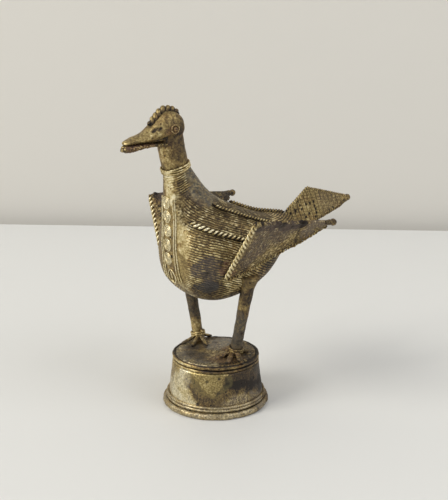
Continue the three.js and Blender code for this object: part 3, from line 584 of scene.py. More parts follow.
def outwards(stations, along, around):
    """The direction straight out of a lofted form at each of its points."""
    step = 0.004
    before, after = np.maximum(along - step, 0), np.minimum(along + step, 1)
    lengthwise = form(stations, after, around) - form(stations, before, around)
    crosswise = form(stations, along, around + step) - form(stations, along, around - step)
    straight = np.cross(crosswise, lengthwise)
    straight /= np.linalg.norm(straight, axis=-1, keepdims=True)
    away = form(stations, along, around) - form(stations, along, around + math.pi)
    return straight * np.sign((straight * away).sum(-1, keepdims=True))


def clouds(points, size, seed):
    """Noise from -1 to 1 at many points at once, in clouds of about a size in millimetres."""
    shift = Vector((seed * 5.3, seed * 2.9, seed * 7.1))
    values = [noise.noise(Vector(point) / size + shift) for point in points.reshape(-1, 3)]
    return np.array(values).reshape(points.shape[:-1])


def lofted(stations, rows, columns, worked):
    """A closed skin over a form. Worked gives the heights of its points over the form, and their marks."""
    bm = bmesh.new()
    bmesh.ops.create_grid(bm, x_segments=rows, y_segments=columns, size=0.5)
    mesh = bpy.data.meshes.new("skin")
    bm.to_mesh(mesh)
    bm.free()
    flat = np.zeros(len(mesh.vertices) * 3)
    mesh.vertices.foreach_get("co", flat)
    flat = flat.reshape(-1, 3)
    order = np.lexsort((flat[:, 1].round(6), flat[:, 0].round(6)))
    grid = order.reshape(len(np.unique(flat[:, 0].round(6))), -1)
    along, around = np.meshgrid(np.linspace(0, 1, grid.shape[0]), np.linspace(0, 2 * math.pi, grid.shape[1]),
                                indexing="ij")
    points = form(stations, along, around)
    heights, marks = worked(points, along, around)
    points = points + outwards(stations, along, around) * heights[..., None]
    flat[grid.reshape(-1)] = points.reshape(-1, 3) / 1000 + np.array(bird_place)
    mesh.vertices.foreach_set("co", flat.reshape(-1))
    for name, values in marks.items():
        shares = np.zeros(len(flat), np.float32)
        shares[grid.reshape(-1)] = values.reshape(-1)
        mesh.attributes.new(name, "FLOAT", "POINT").data.foreach_set("value", shares)
    bm = bmesh.new()
    bm.from_mesh(mesh)
    bpy.data.meshes.remove(mesh)
    bmesh.ops.remove_doubles(bm, verts=bm.verts[:], dist=1e-7)
    bmesh.ops.edgeloop_fill(bm, edges=[edge for edge in bm.edges if edge.is_boundary])
    bmesh.ops.recalc_face_normals(bm, faces=bm.faces[:])
    return bm


def smooth_run(marks, share):
    """Points at shares of the length of a smooth curve through a row of marks."""
    marks = np.asarray(marks, float)
    padded = np.vstack([2 * marks[0] - marks[1], marks, 2 * marks[-1] - marks[-2]])
    spread = np.linspace(0, len(marks) - 1, 400)
    first = np.minimum(spread.astype(int), len(marks) - 2)
    t = (spread - first)[:, None]
    p0, p1, p2, p3 = (padded[first + step] for step in range(4))
    cubic = 1.5 * (p1 - p2) + (p3 - p0) / 2
    run = p1 + t * (p2 - p0) / 2 + t ** 2 * (p0 - 2.5 * p1 + 2 * p2 - p3 / 2) + t ** 3 * cubic
    length = np.concatenate([[0], np.cumsum(np.linalg.norm(np.diff(run, axis=0), axis=1))])
    wanted = np.asarray(share) * length[-1]
    return np.stack([np.interp(wanted, length, run[:, axis]) for axis in range(marks.shape[1])], axis=-1)


# The first thread on each flank runs through these (along, around) marks. The smooth breast band and the worn
# nape end at their edges, each given as shares along the body and the angles there.
thread_pitch = 1.1
neck_end = 0.107
first_thread = [
    (neck_end, 2.06), (0.133, 1.95), (0.165, 1.8), (0.205, 1.59), (0.26, 1.34), (0.32, 1.13), (0.378, 0.98),
    (0.443, 0.89), (0.49, 0.87), (0.62, 0.93), (0.74, 0.98), (0.86, 1.1), (1, 1.35)]
flank_bend = 22.0
band_edge = ((0, 0.09, 0.135, 0.177, 0.205, 0.258, 0.29, 0.33, 0.38, 0.42, 1),
             (3.3, 2.15, 2.08, 2.26, 2.30, 2.40, 2.50, 2.62, 2.75, 3.3, 3.3))
nape_edge = ((0, 0.05, 0.1, 0.135, 0.165, 0.2, 0.235, 0.265, 0.285, 0.31, 1),
             (1.45, 1.45, 1.6, 1.75, 1.62, 1.42, 1.18, 0.95, 0.6, 0, 0))


def wound(points, along, around):
    """The lay of the threads: how far each point is from the first thread of its winding."""
    folded = np.abs(np.where(around > math.pi, around - 2 * math.pi, around))
    one_side = points.copy()
    one_side[..., 0] *= np.where(around > math.pi, -1, 1)
    nearest = np.full(along.shape, 1e9)
    for mark in smooth_run(first_thread, np.linspace(0, 1, 160)):
        nearest = np.minimum(nearest, ((one_side - form(body_stations, mark[0], mark[1])) ** 2).sum(-1))
    chord = np.sqrt(nearest) / (2 * flank_bend)
    fan = 2 * flank_bend * np.arcsin(np.minimum(chord, 1))
    down_front = np.linalg.norm(np.diff(points[:, points.shape[1] // 2], axis=0), axis=-1)
    rings = np.concatenate([[0], np.cumsum(down_front)])[:, None]
    lay = np.where(along < neck_end, rings, fan)
    in_band = np.clip((folded - np.interp(along, *band_edge)) / 0.2 + 0.5, 0, 1)
    on_nape = np.clip((np.interp(along, *nape_edge) - folded) / 0.10 + 0.5, 0, 1)
    faint = np.where((along < neck_end) & (folded > 2.1), 0.6, 0)
    worn = np.maximum.reduce([in_band, 0.9 * on_nape, faint])
    heights = 0.15 * clouds(points, 9, 3) + 0.06 * clouds(points, 2.5, 2) - 0.12 * (1 - worn) - 0.02
    return heights, {"lay": lay, "shown": 1 - worn}


def wound_look(finish, place, mottle):
    """How much the threads show, and how high a place lies on its thread, with small sways in their run."""
    laid = finish.add("ShaderNodeAttribute", {"attribute_name": "lay"}, {}, "Fac")
    shown = finish.add("ShaderNodeAttribute", {"attribute_name": "shown"}, {}, "Fac")
    sway = (finish.cloudy(place, 7, 2) - 0.5) * 0.9 + (finish.cloudy(place, 2, 2) - 0.5) * 0.8
    turn = finish.maths("SINE", (laid + sway) * (math.pi / thread_pitch))
    ridge = finish.maths("POWER", finish.maths("ABSOLUTE", turn), 0.42)
    return shown * (0.3 + mottle.within(0.3, 0.6) * 0.75), ridge


def bird_spots(*places):
    return [on_bird(place) for place in places]


slate, old_brown, olive_brown = (0.25, 0.232, 0.195), (0.150, 0.098, 0.050), (0.125, 0.082, 0.032)
# Down the front and left of the neck and breast, towards the window, the rubbed brass is brightened further
# as a painted highlight.
rubbed_side_and_painted_highlight = bird_spots((5, -22, 72), (6.5, -21.4, 67), (8, -20.8, 62), (9, -20.8, 57), (10, -20.9, 52.5))
throat = bird_spots((1.5, -23.2, 81.5), (1.5, -23.3, 78), (2.2, -23.2, 74))
smooth_breast = bird_spots((0, -22.8, 66), (0, -22.6, 60), (0, -22.7, 54), (1, -22.2, 47))
breast_nicks = bird_spots((-2.8, -22.5, 63.4), (1.4, -22.6, 56.3), (1.8, -22.3, 47.5), (-3.4, -21.6, 41.8))
worn_nape = bird_spots((4, -14, 82), (5, -11, 78), (6.8, -13, 75.5), (7, -10.5, 72.5), (6, -7, 71),
                       (2.5, -8, 78), (2.8, -4, 74.5), (4.5, -2.5, 71))
upper_flank = bird_spots(
    (7.4, -19.3, 71.6), (8.8, -18, 69.5), (10.6, -16.5, 65.4), (9.6, -19, 65.5), (10, -13.3, 67.8),
    (11.6, -9, 64.4), (13.2, -4.8, 61.1), (14.2, 4, 58.4), (14, -14, 60), (10.6, 1, 62.8), (15.5, -9, 58))
back_slope = bird_spots((6.2, 11, 63.2), (8.1, 18, 60.7), (4.7, 6.8, 65), (11, 21, 58.1), (9, 9, 62.2),
                        (7.6, -0.8, 66.1), (4, 24, 60))
belly_patch = bird_spots((15.8, -17.4, 43.5), (17.6, -15.3, 46.3), (18.9, -12.9, 46.3), (19.6, -11.2, 42),
                         (17.8, -14.8, 41.5), (17.4, -13, 37.4))
slate_patch = bird_spots((16.2, -14.2, 36), (14.5, -16, 35.5), (17.2, -11.6, 35.3), (15.3, -13.8, 33.6))
red_corner = bird_spots((20.8, -7.4, 44.1), (20.6, -8.6, 42.8), (21.3, -6.5, 46))
# Painted shade: the underside and the lower flank under the wing are darkened.
underside = bird_spots((14, -14, 31), (16, -11, 33), (10, -6, 24), (16, -2, 26), (18, 8, 28), (8, 2, 25))
body_finish = aged_brass(
    "body brass", 0.43, 0.8, threads=1.35, mottle_size=3.0, grain=0.85, speckling=0.95, pitting=0.9,
    drawn_out=(1, 0.36, 1), lay=wound_look,
    bright=[(rubbed_side_and_painted_highlight, 4.2, 0.26), (throat, 4.0, 0.36), (smooth_breast, 4, 0.12),
            (bird_spots((7, -21, 47), (9, -19.5, 41), (6, -19.5, 37)), 5, 0.14)],
    dark=[(bird_spots((5.6, -19.8, 80), (6.2, -19, 77), (6.9, -18.6, 74.5)), 2.2, 0.2),
          (upper_flank, 4.0, 0.10), (back_slope, 6, 0.17), (belly_patch, 4.8, 0.27), (slate_patch, 3.4, 0.2),
          # Painted shade on the underside and on the lower flank under the wing
          (underside, 8, 0.32), (bird_spots((19, 17, 40), (14, 24, 36), (19, 12, 33), (12, 30, 42)), 10, 0.3),
          (bird_spots((4, 38, 57), (8, 36, 54)), 8, 0.18), (breast_nicks, 0.9, 0.5)],
    stains=[(worn_nape, 5.5, 0.85, slate), (upper_flank, 5.5, 0.75, old_brown),
            (back_slope, 6.5, 1.0, olive_brown), (belly_patch, 4.8, 0.75, (0.20, 0.165, 0.14)),
            (slate_patch, 3.4, 0.75, (0.12, 0.112, 0.10)), (red_corner, 2.2, 0.95, (0.46, 0.27, 0.18))])
piece("wound_body", lofted(body_stations, 220, 280, wound), body_finish, ["body_shell"])

# Clay core
# The clay that the wax was wound on. The poured metal baked it hard, and it is still inside the body, where a
# real casting shows it only through a small vent under the belly.
clay = Finish("fired clay")
clay_place = clay.add("ShaderNodeTexCoord", {}, {}, "Object")
clay_grain = clay.cloudy(clay_place, 1.2, 4)
clay.feed("Base Color", clay.mixed(clay_grain, (0.16, 0.09, 0.06), (0.34, 0.22, 0.15)))
clay.feed("Normal", clay.add("ShaderNodeBump", {}, {"Height": clay_grain, "Distance": 0.0003}, "Normal"))
clay.shader.inputs["Roughness"].default_value = 0.95
core_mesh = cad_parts["clay_core"].data
core_mesh.materials.clear()
core_mesh.materials.append(clay.material)


# Twisted cords along the spine, the back and the flanks
# Two wax threads twisted together and pressed on. Their backs are rubbed bright, and the slots between the
# strands are black.
def evenly(points, ups, steps):
    """The same path in even steps, with the way out of the body at each."""
    length = np.concatenate([[0], np.cumsum(np.linalg.norm(np.diff(points, axis=0), axis=1))])
    wanted = np.linspace(0, length[-1], steps)
    points = np.stack([np.interp(wanted, length, points[:, axis]) for axis in range(3)], axis=1)
    ups = np.stack([np.interp(wanted, length, ups[:, axis]) for axis in range(3)], axis=1)
    return points, ups / np.linalg.norm(ups, axis=1, keepdims=True)


def laid_on(stations, route, lift, steps):
    """A route of (along, around) marks as a path over a form."""
    run = smooth_run(route, np.linspace(0, 1, 300))
    ups = outwards(stations, run[:, 0], run[:, 1])
    return evenly(form(stations, run[:, 0], run[:, 1]) + ups * lift, ups, steps)


def mark_relief(mesh, points, ups, reach, free=False):
    """Marks a thread from 0 in its slots to 1 along its back. Unless it lies free, it is also low below."""
    flat = np.zeros(len(mesh.vertices) * 3)
    mesh.vertices.foreach_get("co", flat)
    flat = (flat.reshape(-1, 3) - np.array(bird_place)) * 1000
    nearest = ((flat[:, None, :] - points[None, :, :]) ** 2).sum(-1).argmin(1)
    rise = ((flat - points[nearest]) * ups[nearest]).sum(-1) * (not free) + 0.6 * reach * free
    out = np.linalg.norm(flat - points[nearest], axis=-1)
    shares = np.clip(0.5 + 0.35 * rise / reach + 0.9 * (out / reach - 0.8), 0, 1)
    mesh.attributes.new("relief", "FLOAT", "POINT").data.foreach_set("value", shares.astype(np.float32))


def thread_on(points, ups, radius, closed=False, fineness=3):
    """One plain thread along a path on the bird."""
    radii = radius if isinstance(radius, np.ndarray) else [radius] * len(points)
    mesh = drawn_thread(points / 1000 + np.array(bird_place), radii, closed, fineness)
    mark_relief(mesh, points, ups, max(radii))
    return mesh


def twisted_cord(points, ups, radius, lay, hand=1, fineness=2, taper=0.6, spread=0.5, free=False):
    """Two strands laid round each other along a path. The lay is the length of one full turn."""
    runs = np.gradient(points, axis=0)
    runs /= np.linalg.norm(runs, axis=1, keepdims=True)
    sides = np.cross(runs, ups)
    length = np.concatenate([[0], np.cumsum(np.linalg.norm(np.diff(points, axis=0), axis=1))])
    from_end = np.minimum(length, length[-1] - length)
    full = np.clip(taper + (1 - taper) * from_end / (2 * radius), taper, 1)
    strands = []
    for strand in (0, 1):
        turn = hand * 2 * math.pi * length / lay + strand * math.pi
        offset = sides * np.cos(turn)[:, None] + ups * np.sin(turn)[:, None]
        centre = (points + offset * (spread * radius * full)[:, None]) / 1000 + np.array(bird_place)
        mesh = drawn_thread(centre, (1.04 - spread) * radius * full, fineness=fineness)
        mark_relief(mesh, points, ups, radius, free)
        strands.append(mesh)
    return gathered(strands)


def mirrored_over(points):
    return points * np.array([-1, 1, 1])


flank_cord_finish = aged_brass("flank cord brass", 0.27, 0.8, threads=2.1, mottle_size=3,
                               bright=[(bird_spots((11.5, -18, 63.5), (14.5, -14, 61)), 4.5, 0.1)],
                               dark=[(bird_spots((18.5, 2, 55), (18, -2, 56.5), (19, 6, 54)), 6, 0.2)])
back_cord_finish = aged_brass("back cord brass", 0.13, 0.8, threads=1.5, mottle_size=3)
spine_finish = aged_brass("spine cord brass", 0.13, 0.9, threads=1.2, mottle_size=3)
spine_route = [(0.4, 0), (0.52, 0), (0.64, 0), (0.76, 0), (0.86, 0)]
back_route = [(0.255, 0.925), (0.318, 0.785), (0.36, 0.7), (0.403, 0.646), (0.453, 0.602), (0.565, 0.576),
              (0.65, 0.62)]
flank_route = [(0.205, 2.17), (0.235, 1.963), (0.273, 1.754), (0.31, 1.58), (0.345, 1.431), (0.38, 1.318),
               (0.417, 1.239), (0.46, 1.19)]
body_cords = (("spine_cord", spine_route, 1.0, 3.4, spine_finish, "dark_brass"),
              ("back_cord", back_route, 0.8, 3.2, back_cord_finish, "rubbed_brass"),
              ("flank_cord", flank_route, 1.15, 4.4, flank_cord_finish, "rubbed_brass"))
for name, route, radius, lay, finish, slot in body_cords:
    points, ups = laid_on(body_stations, route, radius * 0.45, 150)
    if name == "spine_cord":
        piece(name, twisted_cord(points, ups, radius, lay, free=True), finish, [name])
        continue
    piece(f"{name}_left", twisted_cord(points, ups, radius, lay), finish, [f"{name}_left"])
    other = twisted_cord(mirrored_over(points), mirrored_over(ups), radius, lay, hand=-1)
    piece(f"{name}_right", other, finish, [f"{name}_right"])


# Breast: a row of coils ending in a leaf, between two border threads
# Each coil is one fine wax thread wound flat from its middle, and the border threads run down beside them in
# pairs. All of it was pressed well into the warm wax.
breast_band = ((0, -23, 74), (0, -23, 68), (0, -22.8, 62), (0, -22.7, 56), (0, -22.5, 50), (0, -22.2, 44))
breast_finish = aged_brass("breast thread brass", 0.55, 0.9, threads=0.8, mottle_size=2.6,
                           bright=[(bird_spots((2, -23, 68), (3, -22.7, 58), (3, -22.3, 49)), 6, 0.08)],
                           stains=[(bird_spots(*breast_band), 9, 0.4, (0.74, 0.65, 0.43))])
breast_shares = np.linspace(0.02, 0.5, 400)
breast_line = form(body_stations, breast_shares, math.pi)
down_breast = np.concatenate([[0], np.cumsum(np.linalg.norm(np.diff(breast_line, axis=0), axis=1))])
coils, coil_radius, coil_gap, coil_turns, coil_thread = 5, 3.05, 0.1, 3.9, 0.34
first_coil = np.interp(0.115, breast_shares, down_breast)
coil_places = first_coil + (2 * coil_radius + coil_gap) * np.arange(coils)


def on_breast(sideways, down):
    """Points and ways out of the breast, at millimetres to the bird's left and down from its throat."""
    along = np.interp(down, down_breast, breast_shares)
    turns = math.pi + np.linspace(-1.1, 1.1, 221)
    reach = form(body_stations, along[:, None], turns[None, :])[..., 0]
    around = turns[np.abs(reach - sideways[:, None]).argmin(1)]
    return form(body_stations, along, around), outwards(body_stations, along, around)


def wound_coil(sideways, down, start_turn):
    """A flat spiral laid on the breast, a little proud at its middle."""
    share = np.linspace(0, 1, int(coil_turns * 26))
    turn = start_turn + 2 * math.pi * coil_turns * share
    reach = (coil_radius - coil_thread) * share + 0.1
    points, ups = on_breast(sideways + reach * np.cos(turn), down + reach * np.sin(turn))
    return thread_on(points + ups * (0.08 + 0.12 * (1 - share) ** 2)[:, None], ups, coil_thread)


for count, down in enumerate(coil_places):
    coil = gathered([wound_coil(-0.3 * count, down, 0.7 * count)])
    piece(f"coil_{count + 1}", coil, breast_finish, [f"breast_coil_{count + 1}"])
border_route = [(0.1, 2.64), (0.16, 2.79), (0.23, 2.915), (0.3, 2.985), (0.35, 3.0), (0.39, 2.995)]
for name, mirror in (("left", 1), ("right", -1)):
    flip = np.array([mirror, 1, 1])
    strands = []
    for lean in (0.0, 0.07):
        route = [(along, around - lean * (1.5 if along < 0.2 else 1)) for along, around in border_route]
        points, ups = laid_on(body_stations, route, 0.08, 70)
        strands.append(thread_on(points * flip, ups * flip, 0.36))
    piece(f"border_{name}", gathered(strands), breast_finish, [f"breast_border_{name}"])
leaf_strands = []
leaf_bulge = 0.085 * np.sin(math.pi * np.linspace(0, 1, 13)) ** 0.8
for side in (-1, 0, 1):
    leaf_ends = (0.355, 0.401) if side else (0.362, 0.394)
    leaf_route = np.stack([np.linspace(*leaf_ends, 13), math.pi + side * leaf_bulge], axis=1)
    points, ups = laid_on(body_stations, leaf_route, 0.12, 40)
    leaf_strands.append(thread_on(points, ups, 0.38))
piece("breast_leaf_loop", gathered(leaf_strands), breast_finish, ["breast_leaf"])

# Neck, head and upper beak
# Smooth wax over a thin core, cast in one with the body above the collar. The nostrils are two slits cut with
# a warm knife, and a groove runs back from the corner of the mouth to under the eye.
neck_stations = [
    (-13.1, 87.2, -23.8, 83.8, 5.3, 0), (-14.2, 92.2, -25.4, 89.9, 5.4, 0), (-15, 96.5, -26.4, 95.2, 5.2, 0),
    (-15.8, 101, -26, 101, 4.9, 0),
]
head_stations = [
    (-15.3, 103.6, -15.3, 101.5, 1.5, 0), (-16.4, 107.2, -16.7, 98.5, 4.2, 0),
    (-19.8, 109.6, -19.5, 97.2, 5.6, 0), (-24.3, 110.1, -23.6, 97.2, 5.8, 0),
    (-28, 107.2, -27.4, 97.4, 5.3, 0), (-31.4, 104, -31.2, 97.6, 4.5, 0.1),
    (-35.4, 101.6, -35.6, 97.7, 3.8, 0.1), (-39.6, 100.4, -39.8, 97.6, 3.2, 0.1),
    (-42.8, 99.1, -43, 97.4, 2.2, 0), (-43.8, 98.5, -43.9, 97.6, 1, 0),
]


def smoothed_wax(points, along, around):
    """Faint waves and no threads."""
    return 0.05 * clouds(points, 4, 8), {}


def fused(shapes, voxel, passes):
    """Melts shapes that overlap into one skin and softens the seams between them."""
    bm = bmesh.new()
    for shape in shapes:
        mesh = bpy.data.meshes.new("part")
        shape.to_mesh(mesh)
        shape.free()
        bm.from_mesh(mesh)
        bpy.data.meshes.remove(mesh)
    mesh = bpy.data.meshes.new("melt")
    bm.to_mesh(mesh)
    bm.free()
    holder = bpy.data.objects.new("melt", mesh)
    bpy.context.scene.collection.objects.link(holder)
    melt = holder.modifiers.new("melt", "REMESH")
    melt.mode = "VOXEL"
    melt.voxel_size = voxel / 1000
    ease = holder.modifiers.new("ease", "SMOOTH")
    ease.factor = 0.5
    ease.iterations = passes
    melted = holder.evaluated_get(bpy.context.evaluated_depsgraph_get())
    result = bpy.data.meshes.new_from_object(melted)
    bpy.data.objects.remove(holder)
    bm = bmesh.new()
    bm.from_mesh(result)
    bpy.data.meshes.remove(result)
    return bm


def scored(bm, cuts):
    """Presses slits into a skin and marks them as low. A cut has its ends, its half width and its depth."""
    layer = bm.verts.layers.float.get("relief") or bm.verts.layers.float.new("relief")
    bm.normal_update()
    for vert in bm.verts:
        vert[layer] = 1
        for start, end, reach, depth in cuts:
            run = end - start
            share = min(max((vert.co - start).dot(run) / run.length_squared, 0), 1)
            away = (vert.co - start - run * share).length * 1000
            if away < reach:
                push = (1 - (away / reach) ** 2) ** 2
                vert.co -= vert.normal * depth * push / 1000
                vert[layer] = min(vert[layer], 1 - 0.75 * push)


def side_of_head(along, around, mirror):
    point = form(head_stations, along, around)
    return on_bird((mirror * point[0], point[1], point[2]))


head_skins = [lofted(neck_stations, 24, 48, smoothed_wax), lofted(head_stations, 60, 56, smoothed_wax)]
head = fused(head_skins, voxel=0.3, passes=4)
nostril_slits = (((0.565, 0.97), (0.53, 0.98), 0.9, 0.5), ((0.53, 0.98), (0.51, 1.0), 0.7, 0.4),
                 ((0.497, 1.22), (0.46, 1.235), 0.85, 0.5))
mouth_groove = (((0.568, 2.59), (0.468, 2.47), 0.8, 0.55), ((0.468, 2.47), (0.383, 2.28), 0.8, 0.5))
cuts = []
for mirror in (1, -1):
    for start, end, reach, depth in nostril_slits + mouth_groove:
        cuts.append((side_of_head(*start, mirror), side_of_head(*end, mirror), reach, depth))
scored(head, cuts)
unevened(head, 0.14, 3.0, 9)
# The back of the head, turned from the window, is darkened as painted shade.
back_of_head = bird_spots((4, -18.5, 107.5), (5.4, -19, 104), (2, -17, 107), (5, -18, 101), (3.5, -16, 103))
head_finish = aged_brass(
    "head brass", 0.18, 1.1, threads=0.7, mottle_size=2.6, grain=0.9, speckling=1.0, pitting=0.9,
    # Painted highlights on the front of the neck and on the tip of the upper beak
    bright=[(bird_spots((2, -25.2, 90), (2.5, -25, 93), (3.5, -24, 88)), 3.0, 0.16),
            (bird_spots((1.2, -43, 98.6)), 1.8, 0.12),
            (bird_spots((3.2, -36, 100), (4, -31, 101.5)), 3, 0.10)],
    dark=[(bird_spots((5, -18, 96), (5.2, -16, 92), (4.5, -20, 99), (5.3, -19, 93)), 3.8, 0.10),
          # Painted shade in the gap between the beaks, along the groove from the corner of the mouth, and
          # over the back of the head
          (bird_spots((4.2, -25, 97.2), (2.5, -26, 96.5)), 2.2, 0.14),
          (bird_spots((4.4, -26, 99), (3.5, -29, 98)), 1.6, 0.16),
          (bird_spots((3.7, -31, 102.8), (4.8, -28.6, 103.4)), 1.4, 0.08), (back_of_head, 3.5, 0.16)],
    stains=[(bird_spots((5.7, -24, 102.4), (5.5, -25.3, 101.8)), 1.8, 0.5, fire_red),
            (bird_spots((2, -38, 97.8), (1.5, -41, 97.8)), 1.2, 0.7, fire_red),
            (bird_spots((5, -19, 95), (4.5, -22, 93)), 4, 0.5, old_brown)])
piece("neck_and_head", head, head_finish, ["head"])

# Lower beak
# A strip of wax pressed under the head. It is rough where it broke away from the mould, and has red burnt
# clay left on it.
lower_beak_stations = [
    (-24, 97.2, -24, 95.4, 4, 0), (-30, 97.5, -30, 95.6, 3.5, 0), (-35, 97.6, -35, 95.2, 3.1, 0),
    (-39, 97.6, -39, 94.5, 2.9, 0), (-42.5, 97.5, -42.5, 94.3, 2.4, 0), (-44.6, 96.4, -44.6, 94.9, 1.1, 0),
]
beak = lofted(lower_beak_stations, 60, 50, smoothed_wax)
unevened(beak, 0.34, 1.25, 23)
lip_lines = [bird_spots((side * 2.6, -28, 97.3), (side * 1.6, -43, 96.6)) for side in (-1, 1)]
scored(beak, [(start, end, 0.9, 0.1) for start, end in lip_lines])
burnt_clay = bird_spots((2.5, -37, 96.5), (2.8, -33, 97), (1.5, -40.5, 96))
beak_finish = aged_brass("lower beak brass", 0.20, 1.4, threads=0.5, mottle_size=1.6, pitting=1.0,
                         speckling=2.0, stains=[(burnt_clay, 3.4, 0.65, (0.24, 0.12, 0.08))])
piece("lower_beak_half", beak, beak_finish, ["lower_beak"])

# Collar of two threads round the neck
# It hides the join of head and body. Each turn was drawn fine and pressed down, so the threads lie unevenly.
fine_finish = aged_brass("collar brass", 0.29, 0.9, threads=1.1, mottle_size=2.5,
                         bright=[(bird_spots((2, -24, 86)), 4, 0.1)])
up_neck = np.array([0, -3.4, 10.2]) / math.hypot(3.4, 10.2)
turns = np.linspace(0, 2 * math.pi, 90, endpoint=False)
at_top = np.zeros(len(turns))
for name, rises in (("lower", (-0.7, 0.15)), ("upper", (1.05,))):
    rings = []
    for rise in rises:
        ups = outwards(body_stations, at_top, turns)
        points = form(body_stations, at_top, turns) + ups * 0.5 + up_neck * rise
        points = points + up_neck * (0.14 * np.sin(3 * turns + 2 * rise))[:, None]
        rings.append(thread_on(points, ups, 0.44, closed=True))
    piece(f"collar_{name}", gathered(rings), fine_finish, [f"collar_thread_{name}"])

# Plait along the crown
# Two thick threads twisted tightly and laid over the crown from the brow to the back of the head.
crest_route = [(0.145 + 0.066 * step, 0.0) for step in range(7)]
points, ups = laid_on(head_stations, crest_route, 0.05, 190)
crest_finish = aged_brass("plait brass", 0.06, 1.0, threads=1.1, mottle_size=2.2, speckling=1.0,
                          bright=[(bird_spots((1, -29, 107), (1, -26, 110)), 3.5, 0.06)])
plait = twisted_cord(points, ups, 1.9, 4.3, fineness=4, taper=0.75, spread=0.42)
unevened(plait, 0.12, 1.4, 13)
piece("plait", plait, crest_finish, ["crest_plait"])

# Eyes
# A ring of thread round a pellet, pressed on to each side of the head and reddened by the mould.
eyes = bird_spots((5.8, -22.5, 102.6), (-5.8, -22.5, 102.6))
eye_finish = aged_brass("eye brass", 0.27, 1.0, threads=1.0, mottle_size=1.5,
                        stains=[(eyes, 3, 0.6, (0.30, 0.16, 0.10))])
eye_along, eye_around, eye_reach = 0.292, 1.69, 1.75
pellet_relief = 0.75


def ball(middle, radius, turns, rows):
    """A ball of wax rolled between the fingers."""
    bm = bmesh.new()
    bmesh.ops.create_uvsphere(bm, u_segments=turns, v_segments=rows, radius=radius / 1000)
    bmesh.ops.translate(bm, verts=bm.verts[:], vec=on_bird(middle))
    return bm


for name, mirror in (("left", 1), ("right", -1)):
    flip = np.array([mirror, 1, 1])
    middle = form(head_stations, eye_along, eye_around) * flip
    out = outwards(head_stations, np.array(eye_along), np.array(eye_around)) * flip
    across = np.cross(out, [0, 0, 1])
    across /= np.linalg.norm(across)
    rise = np.cross(across, out)
    turns = np.linspace(0, 2 * math.pi, 48, endpoint=False)[:, None]
    points = middle + eye_reach * (across * np.cos(turns) + rise * np.sin(turns)) + out * 0.1
    ring = thread_on(points, np.repeat(out[None], 48, 0), 0.45, closed=True)
    piece(f"eye_ring_thread_{name}", gathered([ring]), eye_finish, [f"eye_ring_{name}"])
    pellet = ball(middle + out * 0.05, 1.2, 24, 14)
    relief = pellet.verts.layers.float.new("relief")
    for vert in pellet.verts:
        vert[relief] = pellet_relief
    unevened(pellet, 0.08, 0.9, 17)
    piece(f"eye_drop_{name}", pellet, eye_finish, [f"eye_pellet_{name}"])

# Wings
# Each wing is a thin dished sheet of wax, left rough. It is joined to the flank along the first part of its
# lower edge and free behind, and beyond a crease its point was smoothed.
wing_thickness, dish_depth, crease_depth, edge_thickening = 1.5, 1.3, 0.22, 0.35
pressed_width, pressed_pitch, pressed_depth = 7, 1.3, 0.3
sheet_share, sheet_steps, crease_share = 0.985, 150, 0.62

# The foot and the top of the front edge, and the point behind. The lower edge runs through marks between.
wing_corners = {
    "left": ((21.4, -8.2, 39.2), (40.2, -6.7, 67), (36.3, 38.6, 60.6)),
    "right": ((-20.6, -12.2, 38.6), (-40.2, -6.2, 65), (-36.9, 39, 60.6)),
}
wing_lower_line = [(22.5, -1, 40.6), (22.7, 8.5, 43.4), (25.2, 16.8, 47.4), (30.6, 26, 53)]


def wing_sheet(front_low, front_high, tip, lower, out):
    """The dished sheet, with threads pressed along its lower edge, nicks in its upper one, and a crease."""
    sheet = bmesh.new()
    bmesh.ops.create_grid(sheet, x_segments=sheet_steps, y_segments=90, size=0.5)
    relief = sheet.verts.layers.float.new("relief")
    bottoms = smooth_run(lower, (np.arange(sheet_steps + 1) / sheet_steps) * sheet_share)
    for vert in sheet.verts:
        share, height = (vert.co.x + 0.5) * sheet_share, vert.co.y + 0.5
        bottom = bottoms[int(round((vert.co.x + 0.5) * sheet_steps))]
        top = front_high + (tip - front_high) * share
        span = np.linalg.norm(top - bottom)
        point = bottom + (top - bottom) * height
        place = Vector(point)
        before_crease = share < crease_share
        dish = dish_depth * math.sin(math.pi * height) * (1 - share) * min(1, 0.1 + share * 6)
        crease = max(0, 1 - abs(share - crease_share + 0.06 * (height - 0.5)) * 50)
        from_edge = span * height + 0.5 * noise.noise(place / 6)
        striped = max(0, 1 - from_edge / pressed_width) * (1 if before_crease else 0.5)
        groove = abs(math.sin(math.pi * from_edge / pressed_pitch))
        from_top = span * (1 - height)
        nick = max(0, noise.noise(place / 1.1)) * max(0, 1 - from_top / 3) * before_crease
        waves = 0.18 * noise.noise(place / 4) + 0.12 * noise.noise(place / 1.6)
        rough = waves * (1 if before_crease else 0.35) - 0.5 * nick
        thick = edge_thickening * max(0, 1 - from_top / 1.6) + 0.25 * max(0, (share - 0.8) / 0.2)
        pressed = pressed_depth * striped * (groove ** 0.7 - 0.75)
        lift = rough + pressed - dish - crease_depth * crease + thick
        vert[relief] = min(max(1 - 0.9 * striped * (1 - groove ** 0.6) - 0.35 * crease - 2.2 * nick, 0), 1)
        vert.co = on_bird(point + out * lift)
    bmesh.ops.recalc_face_normals(sheet, faces=sheet.faces[:])
    middle = on_bird((front_low + tip) / 2)
    middle_face = min(sheet.faces, key=lambda face: (face.calc_center_median() - middle).length)
    if middle_face.normal.dot(Vector(out)) < 0:
        bmesh.ops.reverse_faces(sheet, faces=sheet.faces[:])
    bmesh.ops.solidify(sheet, geom=sheet.faces[:], thickness=wing_thickness / 1000)
    bmesh.ops.recalc_face_normals(sheet, faces=sheet.faces[:])
    return sheet


def balled_rod(rod, radii, end):
    """A rod of wax with a ball pressed on to its end."""
    return fused([end, gathered([drawn_thread(rod, radii)])], voxel=0.16, passes=3)


def both_sides(*places):
    return [on_bird((side * x, y, z)) for x, y, z in places for side in (1, -1)]


